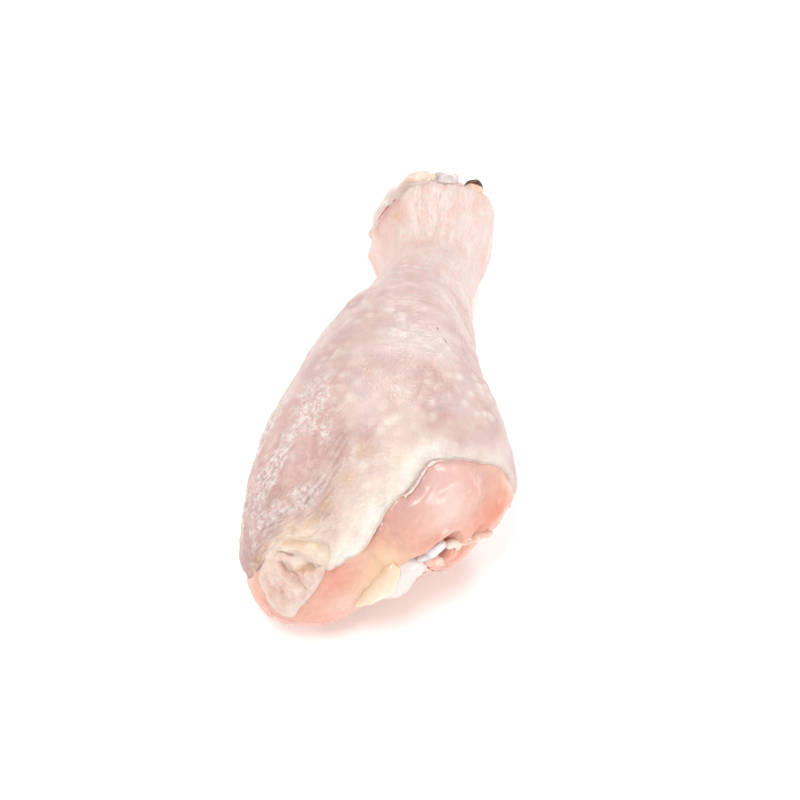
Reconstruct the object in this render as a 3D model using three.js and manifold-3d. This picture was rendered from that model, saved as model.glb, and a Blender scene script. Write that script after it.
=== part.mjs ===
// A raw chicken drumstick lying on its side. Millimetres, +Z up. The thick cut knee end points to -Y,
// the hock end to +Y, and the lean shin side to +X. Skin covers it like a sleeve; the knee end is bare meat.
import * as THREE from 'three';
import Module from 'manifold-3d';

// ---- Driving dimensions ----
const kneeY = -58; // furthest point of the knee end
const hockY = 62; // furthest point of the hock end
const noseLength = 27; // length over which the knee end rounds off
const noseArc = 40.5; // the same stretch measured over the surface
const noseRoundness = 2.7; // 2 is an ellipse, more is blunter
const calfFullness = 0.68; // how much blunter the knee end is on the calf side; 1 is no blunter
const tailLength = 4.5; // length over which the hock end rounds off
const tailRoundness = 3;
const sectionSquareness = 0.9; // 1 is an ellipse, less is squarer
const restDepth = 1.0; // how far the soft underside is pressed flat by its own weight

const skinThickness = 1.4;
const fattyEdge = 1.0; // extra thickness of the creamy fat at the cut edge of the skin
const fattyEdgeReach = 7;
const gap = 0.35; // clearance between touching pieces

const meatEndY = 45.5; // the calf muscles have turned to tendon past here
const boneX = 4;
const boneZ = 12.6;

const columns = 40; // facets round the leg
const boxCentre = { x: -2.7, y: 1.6 }; // middle of the whole leg, moved to the origin

// Sections along the leg: y, then the left, right, underside and top of the leg there.
const sections = [
  [-59.5, -27.4, 23.4, 0.0, 37.8],
  [-47, -29.3, 24.3, 0.0, 42.3],
  [-34, -28.4, 24.1, 0.0, 46.8],
  [-21.5, -25.6, 21.6, 0.0, 47.7],
  [-7, -20.3, 18.0, 0.0, 45.4],
  [7, -14.7, 14.9, 0.0, 41.0],
  [20, -9.5, 13.9, 0.7, 34.6],
  [30.5, -6.7, 13.9, 1.4, 28.8],
  [38.5, -6.7, 14.9, 1.4, 25.6],
  [47.5, -9.0, 17.1, 0.3, 25.2],
  [56, -9.9, 18.2, 0.0, 25.6],
  [63, -9.9, 18.4, 0.0, 25.6],
];

// Where the skin stops at the knee: angle round the leg in degrees, then distance over the surface
// from the tip of the knee end. Angle 0 is the lean side, 90 the top, 180 the calf side.
const kneeEdge = [
  [0, 37.4], [40, 31.9], [65, 28.7], [74, 25.7], [81, 21.6], [86, 11.7], [95, 8.6], [104, 8.6], [116, 11.7],
  [140, 16.2], [172, 19.4], [190, 24.8], [230, 29.7], [270, 33.3], [320, 36], [360, 37.4],
];
// Where the skin stops at the hock, as y.
const hockEdge = [
  [0, 58.5], [36, 58.9], [62, 56.3], [76, 54.9], [96, 56.9], [117, 58], [133, 54.9], [159, 55.4],
  [200, 55.4], [250, 56.7], [300, 57.6], [360, 58.5],
];

// ---- Curves ----
// A smooth curve through [position, value] knots that doesn't overshoot between them.
function curveThrough(knots) {
  const slopes = knots.map(() => 0);
  const steps = knots.slice(1).map((knot, i) => (knot[1] - knots[i][1]) / (knot[0] - knots[i][0]));
  for (let i = 1; i < knots.length - 1; i++) {
    const before = steps[i - 1];
    const after = steps[i];
    if (before * after > 0) slopes[i] = (2 * before * after) / (before + after);
  }
  return (position) => {
    const last = knots.length - 2;
    let i = 0;
    while (i < last && position > knots[i + 1][0]) i++;
    const [start, startValue] = knots[i];
    const [end, endValue] = knots[i + 1];
    const span = end - start;
    const t = Math.min(Math.max((position - start) / span, 0), 1);
    const rise = t * t * (3 - 2 * t);
    const lean = slopes[i] * t * (1 - t) * (1 - t) - slopes[i + 1] * t * t * (1 - t);
    return startValue + (endValue - startValue) * rise + span * lean;
  };
}

const leftAt = curveThrough(sections.map((s) => [s[0], s[1]]));
const rightAt = curveThrough(sections.map((s) => [s[0], s[2]]));
const bottomAt = curveThrough(sections.map((s) => [s[0], s[3]]));
const topAt = curveThrough(sections.map((s) => [s[0], s[4]]));
const kneeEdgeAt = curveThrough(kneeEdge);
const hockEdgeAt = curveThrough(hockEdge);

const smooth = (value, from, to) => {
  const t = Math.min(Math.max((value - from) / (to - from), 0), 1);
  return t * t * (3 - 2 * t);
};
const power = (value, exponent) => Math.sign(value) * Math.abs(value) ** exponent;
const degrees = (angle) => ((((angle * 180) / Math.PI) % 360) + 360) % 360;

// ---- The leg's outer surface ----
const arcAtY = (y) => noseArc + y - kneeY - noseLength;
const wholeArc = arcAtY(hockY);

// The point at a distance over the surface from the knee tip, and at an angle round the leg.
function legPoint(arc, angle) {
  const turn = (Math.min(Math.max(arc, 0) / noseArc, 1) * Math.PI) / 2;
  const nose = Math.sin(turn) ** (2 / noseRoundness);
  const y = arc < noseArc ? kneeY + noseLength * (1 - Math.cos(turn) ** (2 / noseRoundness)) : arc - arcAtY(0);
  const tailPart = Math.min(Math.max((hockY - y) / tailLength, 0), 1);
  const tail = (1 - (1 - tailPart) ** tailRoundness) ** (1 / tailRoundness);
  const tip = (1 - Math.min(Math.max((y - kneeY) / noseLength, 0), 1)) ** 2;
  const [left, right, bottom, top] = [leftAt(y), rightAt(y), bottomAt(y) - restDepth, topAt(y)];
  const middleX = (left + right) / 2;
  const middleZ = (0.94 * (bottom + top)) / 2;
  const side = Math.cos(angle) < 0 ? nose ** calfFullness : nose; // the calf side is the fuller one
  const across = power(Math.cos(angle), sectionSquareness) * side * tail;
  const up = power(Math.sin(angle), sectionSquareness) * nose * tail;
  const x = middleX - 4.5 * tip + across * (across > 0 ? right - middleX : middleX - left);
  const z = middleZ - 1.8 * tip + up * (up > 0 ? top - middleZ : middleZ - bottom);
  // The knee cut slants back toward the lean side, and the hock end leans back on the calf side.
  const kneeSlant = smooth(-9 - y, 0, 45) * Math.max(x + 12.6, 0) * (0.32 + 0.36 * smooth(18 - z, 0, 18));
  const hockSlant = 0.42 * smooth(y, 41.4, 59.4) * Math.max(7.2 - x, 0);
  return new THREE.Vector3(x, y + kneeSlant - hockSlant, z);
}

// The same point moved inward by a depth; nothing of the outside goes below the table.
function insetPoint(arc, angle, depth) {
  const point = legPoint(arc, angle);
  const along = legPoint(arc + 0.5, angle).sub(legPoint(Math.max(arc - 0.5, 0), angle));
  const round = legPoint(arc, angle + 0.02).sub(legPoint(arc, angle - 0.02));
  const outward = along.cross(round).normalize();
  point.addScaledVector(outward, -depth);
  point.z = Math.max(point.z, depth, 0);
  return point;
}

// How far a point on the surface is from the cut edge of the skin at the knee.
const edgeSteps = 72;
const roundRadius = 22;
const edgeLine = Array.from({ length: edgeSteps }, (_, i) => kneeEdgeAt((360 * i) / edgeSteps));
function fromKneeEdge(arc, angle) {
  let nearest = Infinity;
  for (let i = 0; i < edgeSteps; i++) {
    const apart = angle - (2 * Math.PI * i) / edgeSteps;
    const round = Math.atan2(Math.sin(apart), Math.cos(apart)) * roundRadius * Math.min(1, arc / 25);
    nearest = Math.min(nearest, Math.hypot(arc - edgeLine[i], round));
  }
  return nearest;
}

// Soft waves of the skin: broad dents on the calf, folds along the neck and pleats at the cut edge.
// Underneath, the leg's own weight presses them flat.
function skinWaves(arc, angle) {
  const free = 1 - smooth(-Math.sin(angle), 0.85, 0.97);
  const onNeck = smooth(arc, 82, 100) * (1 - smooth(arc, 120, 128));
  const atEdge = Math.exp(-fromKneeEdge(arc, angle) / 8);
  const dents = Math.sin(arc * 0.18 + 2 * Math.cos(angle)) * Math.sin(3 * angle + arc * 0.055);
  const folds = Math.sin(9 * angle + arc * 0.065 + 1.3 * Math.sin(arc * 0.12));
  const pleats = Math.sin(11 * angle + 0.28 * arc);
  return free * (0.3 * dents + 0.3 * onNeck * folds + 0.35 * atEdge * pleats);
}

// ---- Closed meshes ----
// Rings of equal length joined side by side; the first and last are closed by a fan, or to each other.
function meshFromRings(rings, closedLoop) {
  const count = rings[0].length;
  const positions = [];
  const triangles = [];
  for (const ring of rings) for (const point of ring) positions.push(point.x, point.y, point.z);
  const bands = closedLoop ? rings.length : rings.length - 1;
  for (let i = 0; i < bands; i++) {
    const next = (i + 1) % rings.length;
    for (let j = 0; j < count; j++) {
      const k = (j + 1) % count;
      const [a, b, c, d] = [i * count + j, i * count + k, next * count + k, next * count + j];
      // Each four-sided patch is split along its shorter diagonal.
      const split = rings[i][j].distanceTo(rings[next][k]) < rings[i][k].distanceTo(rings[next][j]);
      if (split) triangles.push(a, b, c, a, c, d);
      else triangles.push(a, b, d, b, c, d);
    }
  }
  if (!closedLoop) {
    for (const [ring, flip] of [[0, true], [rings.length - 1, false]]) {
      const centre = rings[ring].reduce((sum, p) => sum.add(p), new THREE.Vector3()).divideScalar(count);
      const hub = positions.length / 3;
      positions.push(centre.x, centre.y, centre.z);
      for (let j = 0; j < count; j++) {
        const [a, b] = [ring * count + j, ring * count + ((j + 1) % count)];
        if (flip) triangles.push(hub, b, a);
        else triangles.push(hub, a, b);
      }
    }
  }
  return { positions, triangles };
}

const wasm = await Module();
wasm.setup();

function toSolid({ positions, triangles }) {
  const numbers = { numProp: 3, vertProperties: new Float32Array(positions), triVerts: new Uint32Array(triangles) };
  const solid = new wasm.Manifold(new wasm.Mesh(numbers));
  if (solid.volume() > 0) return solid;
  const turned = [];
  for (let i = 0; i < triangles.length; i += 3) turned.push(triangles[i], triangles[i + 2], triangles[i + 1]);
  return new wasm.Manifold(new wasm.Mesh({ ...numbers, triVerts: new Uint32Array(turned) }));
}

// Cutting can leave slivers and loose scraps: slivers are smoothed away and the largest piece is kept.
const sliver = 0.04;
function largestPiece(solid) {
  return solid.simplify(sliver).decompose().reduce((best, piece) => (piece.volume() > best.volume() ? piece : best));
}

function ringAt(makePoint) {
  return Array.from({ length: columns }, (_, j) => makePoint((2 * Math.PI * j) / columns));
}

// A ball stretched along three axes: the long axis runs along a direction, the second is level.
function muscleBall(centre, direction, radii, grow = 0, around = 18, down = 11) {
  const long = new THREE.Vector3(...direction).normalize();
  const level = new THREE.Vector3(0, 0, 1).cross(long).normalize();
  const third = long.clone().cross(level);
  const rings = [];
  for (let i = 1; i < down; i++) {
    const polar = (Math.PI * i) / down;
    rings.push(Array.from({ length: around }, (_, j) => {
      const turn = (2 * Math.PI * j) / around;
      return new THREE.Vector3(...centre)
        .addScaledVector(long, (radii[0] + grow) * Math.cos(polar))
        .addScaledVector(level, (radii[1] + grow) * Math.sin(polar) * Math.cos(turn))
        .addScaledVector(third, (radii[2] + grow) * Math.sin(polar) * Math.sin(turn));
    }));
  }
  return toSolid(meshFromRings(rings, false));
}

// ---- Skin ----
const skinDepth = (arc, angle) => skinThickness + fattyEdge * Math.exp(-fromKneeEdge(arc, angle) / fattyEdgeReach);

function skinSleeve(grow) {
  const outerSteps = 28;
  const innerSteps = 14;
  // Rings follow the slanting cut at the knee and soon straighten up along the leg.
  const place = (share, angle) => {
    const from = kneeEdgeAt(degrees(angle)) - grow;
    const to = arcAtY(hockEdgeAt(degrees(angle))) + grow;
    return to * share + from * (1 - share) ** 2.6;
  };
  const outer = (arc, angle) => insetPoint(arc, angle, Math.min(-skinWaves(arc, angle) - grow, grow ? 9 : 0.4));
  const inner = (arc, angle) => insetPoint(arc, angle, skinDepth(arc, angle) + grow);
  const lip = (share, angle) => {
    const arc = place(share, angle);
    const thick = skinDepth(arc, angle);
    return insetPoint(arc + (share > 0.5 ? 0.5 : -0.5) * thick, angle, thick / 2);
  };
  const rings = [];
  for (let i = 0; i <= outerSteps; i++) rings.push(ringAt((angle) => outer(place(i / outerSteps, angle), angle)));
  rings.push(ringAt((angle) => lip(1, angle)));
  for (let i = innerSteps; i >= 0; i--) rings.push(ringAt((angle) => inner(place(i / innerSteps, angle), angle)));
  rings.push(ringAt((angle) => lip(0, angle)));
  return toSolid(meshFromRings(rings, true));
}

// The crumpled flap of loose skin that hangs over the knee end: its middle line from root to tip, half
// its width there, and how far its folds stand up.
const flap = [
  { at: [-17.5, -50.6, 32.0], half: 6.0, thick: 1.2, fold: 0.0 },
  { at: [-17.2, -53.4, 28.4], half: 8.2, thick: 2.2, fold: 1.8 },
  { at: [-17.4, -54.6, 25.0], half: 8.0, thick: 2.4, fold: 0.3 },
  { at: [-17.8, -55.9, 20.7], half: 6.6, thick: 2.4, fold: 1.2 },
  { at: [-18.4, -56.3, 16.6], half: 5.6, thick: 2.4, fold: 0.9 },
  { at: [-19.1, -55.6, 12.6], half: 4.2, thick: 2.2, fold: 0.5 },
  { at: [-19.8, -54.2, 9.6], half: 2.4, thick: 1.6, fold: 0.0 },
];

function skinFlap(grow) {
  const steps = 10;
  const across = 14;
  const knots = (pick) => curveThrough(flap.map((knot, i) => [i / (flap.length - 1), pick(knot)]));
  const middle = [0, 1, 2].map((axis) => knots((knot) => knot.at[axis]));
  const half = knots((knot) => knot.half);
  const thick = knots((knot) => knot.thick);
  const fold = knots((knot) => knot.fold);
  const rootward = new THREE.Vector3(0, 0.6, 0.8);
  const rings = [];
  for (let i = 0; i <= steps; i++) {
    const share = i / steps;
    const centre = new THREE.Vector3(...middle.map((curve) => curve(share)));
    if (i === 0) centre.addScaledVector(rootward, grow);
    if (i === steps) centre.addScaledVector(rootward, -grow);
    rings.push(Array.from({ length: across }, (_, j) => {
      const turn = (2 * Math.PI * j) / across;
      const side = Math.cos(turn) * (half(share) + grow);
      const crease = fold(share) * (0.75 + 0.5 * Math.sin(side * 0.9 + 5 * share));
      const lift = thick(share) / 2 + grow + (Math.sin(turn) > 0 ? crease : 0);
      // The flap bends back round the calf side.
      const bend = -0.02 * side * side + 0.15 * side;
      return centre.clone().add(new THREE.Vector3(side, -(Math.sin(turn) * lift + bend) * 0.92, Math.sin(turn) * 0.3));
    }));
  }
  return toSolid(meshFromRings(rings, false));
}

function skinSolid(grow) {
  return skinSleeve(grow).add(skinFlap(grow));
}

// ---- Bone: one shaft with the knee plateau at one end and the two hock condyles at the other ----
const plateau = { centre: [2.2, -50.2, 13.0], wide: 9.4, tall: 7.2, thick: 5.6 };
const plateauFacing = new THREE.Vector3(0.5, -0.68, -0.53).normalize();
const plateauWide = new THREE.Vector3(0.816, 0.171, 0.552).normalize();

const shaft = [
  { y: -43, radius: 5.4 }, { y: -36, radius: 5.2 }, { y: -27, radius: 4.1 }, { y: -9, radius: 3.4 },
  { y: 18, radius: 3.2 }, { y: 38, radius: 4.0 }, { y: 48.5, radius: 6.3 }, { y: 55.5, radius: 7.2 },
];
const condyle = { y: 54.6, apart: 5.4, radii: [6.9, 5.5, 8.2] };

function boneSolid(grow) {
  const around = 16;
  const rings = shaft.map(({ y, radius }, i) => Array.from({ length: around }, (_, j) => {
    const turn = (2 * Math.PI * j) / around;
    const reach = radius + grow;
    const end = i === 0 ? -grow : i === shaft.length - 1 ? grow : 0;
    return new THREE.Vector3(boneX + reach * Math.cos(turn), y + end, boneZ + reach * Math.sin(turn));
  }));
  let bone = toSolid(meshFromRings(rings, false));
  for (const side of [-1, 1]) {
    const centre = [boneX + side * condyle.apart, condyle.y, boneZ - 0.6];
    bone = bone.add(muscleBall(centre, [0, 1, 0], condyle.radii, grow, 18, 11));
  }
  return bone.add(kneeHead(grow));
}

// The head under the knee joint: a rounded slab whose face is slightly dished in two halves.
function kneeHead(grow, forward = 0) {
  const around = 22;
  const down = 10;
  const tall = plateauFacing.clone().cross(plateauWide).normalize();
  const centre = new THREE.Vector3(...plateau.centre).addScaledVector(plateauFacing, forward - plateau.thick);
  const rings = [];
  for (let i = 1; i < down; i++) {
    const polar = (Math.PI * i) / down;
    const depth = power(Math.cos(polar), 0.55) * (plateau.thick + grow);
    const reach = Math.sin(polar) ** 0.7;
    rings.push(Array.from({ length: around }, (_, j) => {
      const turn = (2 * Math.PI * j) / around;
      const side = Math.cos(turn) * reach * (plateau.wide + grow);
      const rise = Math.sin(turn) * reach * (plateau.tall + grow);
      const dish = depth > 0 ? 0.7 * Math.cos((side / plateau.wide) * 2.4 * Math.PI) * (1 - reach) : 0;
      return centre.clone()
        .addScaledVector(plateauFacing, depth + dish)
        .addScaledVector(plateauWide, side)
        .addScaledVector(tall, rise);
    }));
  }
  return toSolid(meshFromRings(rings, false));
}

// ---- Meat: the core inside the skin with the bare muscle ends at the knee ----
// Each muscle end: its middle, the way it runs, and its radii along, across and over.
const muscles = {
  calfHead: [[-14.0, -43.5, 15.8], [0.1, 1, 0.1], [12.0, 13.9, 14.8]],
  shinHead: [[5.0, -36.4, 26.4], [0.45, -0.8, 0.1], [15.0, 12.6, 12.8]],
  shinSide: [[13.6, -31.0, 20.6], [0.55, -0.8, 0.0], [12.2, 9.6, 10.4]],
  deepHead: [[9.8, -36.2, 16.0], [-0.3, 1, 0.1], [10.5, 8.6, 8.2]],
};
const meatBulge = 1.7; // how far bare muscle may swell past the line of the skin

// The leg inside a depth that may differ between its bare knee end and where skin covers it.
function legCore(bareDepth, coveredDepth, endY) {
  const bareSteps = 8;
  const coveredSteps = 9;
  const rings = [];
  for (let i = 1; i <= bareSteps; i++) {
    rings.push(ringAt((angle) => insetPoint(kneeEdgeAt(degrees(angle)) * (i / bareSteps - 0.04), angle, bareDepth)));
  }
  for (let i = 0; i <= coveredSteps; i++) {
    rings.push(ringAt((angle) => {
      const from = kneeEdgeAt(degrees(angle));
      const arc = from + (arcAtY(endY) - from) * (i / coveredSteps);
      return insetPoint(arc, angle, coveredDepth(arc, angle));
    }));
  }
  return toSolid(meshFromRings(rings, false));
}

const halfSkin = (arc, angle) => skinDepth(arc, angle) / 2;

function meatSolid() {
  let meat = legCore(skinThickness, halfSkin, meatEndY);
  for (const muscle of Object.values(muscles)) meat = meat.add(muscleBall(...muscle));
  meat = meat.intersect(legCore(-meatBulge, halfSkin, meatEndY));
  // The joint's hollow in front of the plateau.
  meat = meat.subtract(kneeHead(1.8, 2 * plateau.thick));
  for (const other of [skinSolid(gap), boneSolid(gap), fatSolid(gap), ligamentSolid(gap)]) {
    meat = meat.subtract(other);
  }
  return largestPiece(meat);
}

// ---- Small pieces ----
function fatSolid(grow) {
  return muscleBall([-0.6, -51.4, 20.6], [0.7, 0.1, 0.6], [4.6, 2.6, 2.8], grow, 14, 10);
}

function ligamentSolid(grow) {
  return muscleBall([8.6, -47.4, 23.6], [0.5, 0.4, 0.8], [4.1, 1.6, 2.2], grow, 12, 8);
}

// Gristle and tendon that fill the hock end between the skin and the bone: a ragged rim round a hollow.
const gristleRim = curveThrough([
  [0, 59.5], [30, 60.2], [58, 58.2], [74, 61.4], [105, 62.8], [140, 62.4], [200, 59.8], [270, 58.8], [360, 59.5],
]);
const gristleHollowY = 55;

function gristleSolid() {
  const start = meatEndY + gap;
  const outside = [0, 0.4, 0.7, 0.88, 1].map((share) => ringAt((angle) => {
    const rim = gristleRim(degrees(angle));
    const arc = arcAtY(start + (rim - start) * share);
    return insetPoint(arc, angle, halfSkin(arc, angle) + 0.6 * share ** 4);
  }));
  const rim = outside[outside.length - 1];
  const inside = [[0.86, 0.1], [0.7, 0.7], [0.45, 1]].map(([scale, sink]) => rim.map((point) => {
    const y = point.y + (gristleHollowY - point.y) * sink;
    return new THREE.Vector3(boneX + (point.x - boneX) * scale, y, boneZ + (point.z - boneZ) * scale);
  }));
  const gristle = toSolid(meshFromRings([...outside, ...inside], false));
  return largestPiece(gristle.subtract(skinSolid(gap)).subtract(boneSolid(gap)));
}

// ---- The group ----
function meshOf(name, solid, color, roughness) {
  const { vertProperties, triVerts } = solid.getMesh();
  const geometry = new THREE.BufferGeometry();
  geometry.setAttribute('position', new THREE.BufferAttribute(new Float32Array(vertProperties), 3));
  geometry.setIndex(new THREE.BufferAttribute(new Uint32Array(triVerts), 1));
  geometry.computeVertexNormals();
  const mesh = new THREE.Mesh(geometry, new THREE.MeshStandardMaterial({ color, roughness, metalness: 0 }));
  mesh.name = name;
  return mesh;
}

const bone = boneSolid(0);
const fat = fatSolid(0).subtract(boneSolid(gap)).subtract(ligamentSolid(gap));
const ligament = ligamentSolid(0).subtract(boneSolid(gap));

const drumstick = new THREE.Group();
drumstick.add(meshOf('skin', skinSolid(0), '#ead3cc', 0.42));
drumstick.add(meshOf('meat', meatSolid(), '#eab3a2', 0.35));
drumstick.add(meshOf('bone', bone, '#f3ecea', 0.25));
drumstick.add(meshOf('knee_fat', largestPiece(fat), '#fbe6c8', 0.4));
drumstick.add(meshOf('knee_ligament', largestPiece(ligament), '#f5ecea', 0.3));
drumstick.add(meshOf('hock_gristle', gristleSolid(), '#e9d5c8', 0.35));
drumstick.position.set(-boxCentre.x, -boxCentre.y, 0);

export default drumstick;
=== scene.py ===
# A raw chicken drumstick on a pale studio floor. Shapes are worked out in millimetres and made in metres.
import math

import bpy
import numpy as np
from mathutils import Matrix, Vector
from mathutils.bvhtree import BVHTree


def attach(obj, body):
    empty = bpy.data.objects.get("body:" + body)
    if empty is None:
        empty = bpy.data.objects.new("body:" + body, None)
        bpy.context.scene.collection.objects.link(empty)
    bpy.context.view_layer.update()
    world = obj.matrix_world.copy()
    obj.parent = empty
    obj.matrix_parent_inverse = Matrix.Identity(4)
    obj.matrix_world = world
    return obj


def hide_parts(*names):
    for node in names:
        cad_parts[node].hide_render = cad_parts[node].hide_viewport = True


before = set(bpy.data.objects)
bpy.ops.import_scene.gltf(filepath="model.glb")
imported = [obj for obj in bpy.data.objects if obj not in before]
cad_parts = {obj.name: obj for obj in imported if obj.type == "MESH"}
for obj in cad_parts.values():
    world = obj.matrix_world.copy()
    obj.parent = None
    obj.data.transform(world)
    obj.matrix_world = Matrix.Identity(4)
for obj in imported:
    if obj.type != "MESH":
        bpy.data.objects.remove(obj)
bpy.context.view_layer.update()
mm = 0.001

# ---- the leg's outer surface, addressed by distance over it from the knee tip and angle round it ----
leg = {
    "kneeY": -58.0, "hockY": 62.0,  # furthest points of the two ends
    "noseLength": 27.0, "noseArc": 40.5, "noseRoundness": 2.7,  # how the knee end rounds off
    "calfFullness": 0.68,  # below 1 the calf side of the knee end is blunter
    "tailLength": 4.5, "tailRoundness": 3.0,  # how the hock end rounds off
    "squareness": 0.9,
    "restDepth": 1.0,  # how far the underside is pressed flat by its own weight
    "offset": (2.7, -1.6, 0.0),  # the middle of the leg is moved to the origin
    "roundRadius": 22.0,  # turns an angle round the leg into a length
    # y, then the left, right, underside and top of the leg there
    "sections": [
        (-59.5, -27.4, 23.4, 0.0, 37.8), (-47, -29.3, 24.3, 0.0, 42.3), (-34, -28.4, 24.1, 0.0, 46.8),
        (-21.5, -25.6, 21.6, 0.0, 47.7), (-7, -20.3, 18.0, 0.0, 45.4), (7, -14.7, 14.9, 0.0, 41.0),
        (20, -9.5, 13.9, 0.7, 34.6), (30.5, -6.7, 13.9, 1.4, 28.8), (38.5, -6.7, 14.9, 1.4, 25.6),
        (47.5, -9.0, 17.1, 0.3, 25.2), (56, -9.9, 18.2, 0.0, 25.6), (63, -9.9, 18.4, 0.0, 25.6),
    ],
}


def curveThrough(knots):  # a smooth curve through [position, value] knots that doesn't overshoot
    x, y = np.array(knots, float).T
    step = np.diff(y) / np.diff(x)
    slope = np.zeros(len(x))
    product = step[:-1] * step[1:]
    slope[1:-1] = np.where(product > 0, 2 * product / np.where(product > 0, step[:-1] + step[1:], 1), 0)

    def at(position):
        position = np.asarray(position, float)
        i = np.clip(np.searchsorted(x, position) - 1, 0, len(x) - 2)
        span = x[i + 1] - x[i]
        t = np.clip((position - x[i]) / span, 0, 1)
        rise = t * t * (3 - 2 * t)
        lean = slope[i] * t * (1 - t) ** 2 - slope[i + 1] * t * t * (1 - t)
        return y[i] + (y[i + 1] - y[i]) * rise + span * lean

    return at


def smooth(value, start, end):
    t = np.clip((value - start) / (end - start), 0, 1)
    return t * t * (3 - 2 * t)


def window(value, start, full, hold, end):  # rises from start to full and falls from hold to end
    return smooth(value, start, full) * (1 - smooth(value, hold, end))


def spot(value, centre, width):  # 1 at the centre, falling off over the width
    return np.exp(-((np.asarray(value) - centre) / width) ** 2)


def power(value, exponent):
    return np.sign(value) * np.abs(value) ** exponent


def unit(vectors):
    return vectors / np.maximum(np.linalg.norm(vectors, axis=-1, keepdims=True), 1e-9)


def softNoise(points, size, seed, waves=16):  # crossing waves, about -2 to 2, blobs about half a size wide
    draw = np.random.default_rng(seed)
    total = np.zeros(points.shape[:-1])
    for _ in range(waves):
        direction = unit(draw.normal(size=points.shape[-1])) / (size * draw.uniform(0.7, 1.5))
        total += np.sin(2 * math.pi * (points @ direction) + draw.uniform(0, 2 * math.pi))
    return total / math.sqrt(waves / 2)


sectionCurves = [curveThrough([(s[0], s[k]) for s in leg["sections"]]) for k in (1, 2, 3, 4)]


def arcAtY(y):
    return leg["noseArc"] + y - leg["kneeY"] - leg["noseLength"]


def legMiddle(y):
    left, right, bottom, top = (curve(y) for curve in sectionCurves)
    return (left + right) / 2, 0.94 * (bottom - leg["restDepth"] + top) / 2


def legPoint(arc, angle):
    arc, angle = np.broadcast_arrays(np.asarray(arc, float), np.asarray(angle, float))
    turn = np.clip(arc / leg["noseArc"], 0, 1) * math.pi / 2
    nose = np.sin(turn) ** (2 / leg["noseRoundness"])
    noseY = leg["kneeY"] + leg["noseLength"] * (1 - np.maximum(np.cos(turn), 0) ** (2 / leg["noseRoundness"]))
    y = np.where(arc < leg["noseArc"], noseY, arc - arcAtY(0))
    tailPart = np.clip((leg["hockY"] - y) / leg["tailLength"], 0, 1)
    tail = (1 - (1 - tailPart) ** leg["tailRoundness"]) ** (1 / leg["tailRoundness"])
    tip = (1 - np.clip((y - leg["kneeY"]) / leg["noseLength"], 0, 1)) ** 2
    left, right, bottom, top = (curve(y) for curve in sectionCurves)
    bottom = bottom - leg["restDepth"]
    middleX, middleZ = legMiddle(y)
    side = np.where(np.cos(angle) < 0, nose ** leg["calfFullness"], nose)
    across = power(np.cos(angle), leg["squareness"]) * side * tail
    up = power(np.sin(angle), leg["squareness"]) * nose * tail
    x = middleX - 4.5 * tip + across * np.where(across > 0, right - middleX, middleX - left)
    z = middleZ - 1.8 * tip + up * np.where(up > 0, top - middleZ, middleZ - bottom)
    # the knee cut slants back toward the lean side, and the hock end leans back on the calf side
    kneeSlant = smooth(-9 - y, 0, 45) * np.maximum(x + 12.6, 0) * (0.32 + 0.36 * smooth(18 - z, 0, 18))
    hockSlant = 0.42 * smooth(y, 41.4, 59.4) * np.maximum(7.2 - x, 0)
    return np.stack([x, y + kneeSlant - hockSlant, z], axis=-1)


def outwardAt(arc, angle):
    along = legPoint(arc + 0.5, angle) - legPoint(np.maximum(arc - 0.5, 0), angle)
    around = legPoint(arc, angle + 0.02) - legPoint(arc, angle - 0.02)
    return unit(np.cross(along, around))


def insetPoint(arc, angle, depth):  # nothing of the outside goes below the floor
    depth = np.broadcast_to(depth, np.broadcast(arc, angle).shape)
    point = legPoint(arc, angle) - outwardAt(arc, angle) * depth[..., None]
    point[..., 2] = np.maximum(point[..., 2], np.maximum(depth, 0))
    return point


# ---- closed meshes ----
def ringFaces(rings, columns, closedLoop):  # rings joined side by side; open ends get a fan
    ring = np.arange(rings if closedLoop else rings - 1)[:, None] * columns
    column = np.arange(columns)[None, :]
    beside = (column + 1) % columns
    nextRing = (ring + columns) % (rings * columns)
    quads = np.stack([ring + column, ring + beside, nextRing + beside, nextRing + column], axis=-1)
    faces = quads.reshape(-1, 4).tolist()
    if not closedLoop:
        last = (rings - 1) * columns
        for k in range(columns):
            faces.append([rings * columns, (k + 1) % columns, k])
            faces.append([rings * columns + 1, last + k, last + (k + 1) % columns])
    return faces


def shellFrom(rings, closedLoop=False):
    points = rings.reshape(-1, 3)
    if not closedLoop:
        points = np.vstack([points, rings[0].mean(axis=0), rings[-1].mean(axis=0)])
    return points, ringFaces(rings.shape[0], rings.shape[1], closedLoop)


def turnOutward(points, faces):
    fans = np.array([[f[0], f[k], f[k + 1]] for f in faces for k in range(1, len(f) - 1)])
    a, b, c = points[fans[:, 0]], points[fans[:, 1]], points[fans[:, 2]]
    volume = np.einsum("ij,ij->i", a, np.cross(b, c)).sum()
    return faces if volume > 0 else [f[::-1] for f in faces]


def makePiece(name, shells, material, attributes=None):  # shells are (points, faces) of closed forms
    allPoints, allFaces, start = [], [], 0
    for points, faces in shells:
        allPoints.append(points)
        allFaces += [[i + start for i in f] for f in turnOutward(points, faces)]
        start += len(points)
    mesh = bpy.data.meshes.new(name)
    mesh.from_pydata(((np.vstack(allPoints) + leg["offset"]) * mm).tolist(), [], allFaces)
    mesh.shade_smooth()
    for key, values in (attributes or {}).items():
        mesh.attributes.new(key, "FLOAT", "POINT").data.foreach_set("value", np.asarray(values, np.float32))
    mesh.materials.append(material)
    piece = bpy.data.objects.new(name, mesh)
    bpy.context.scene.collection.objects.link(piece)
    return piece


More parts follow.
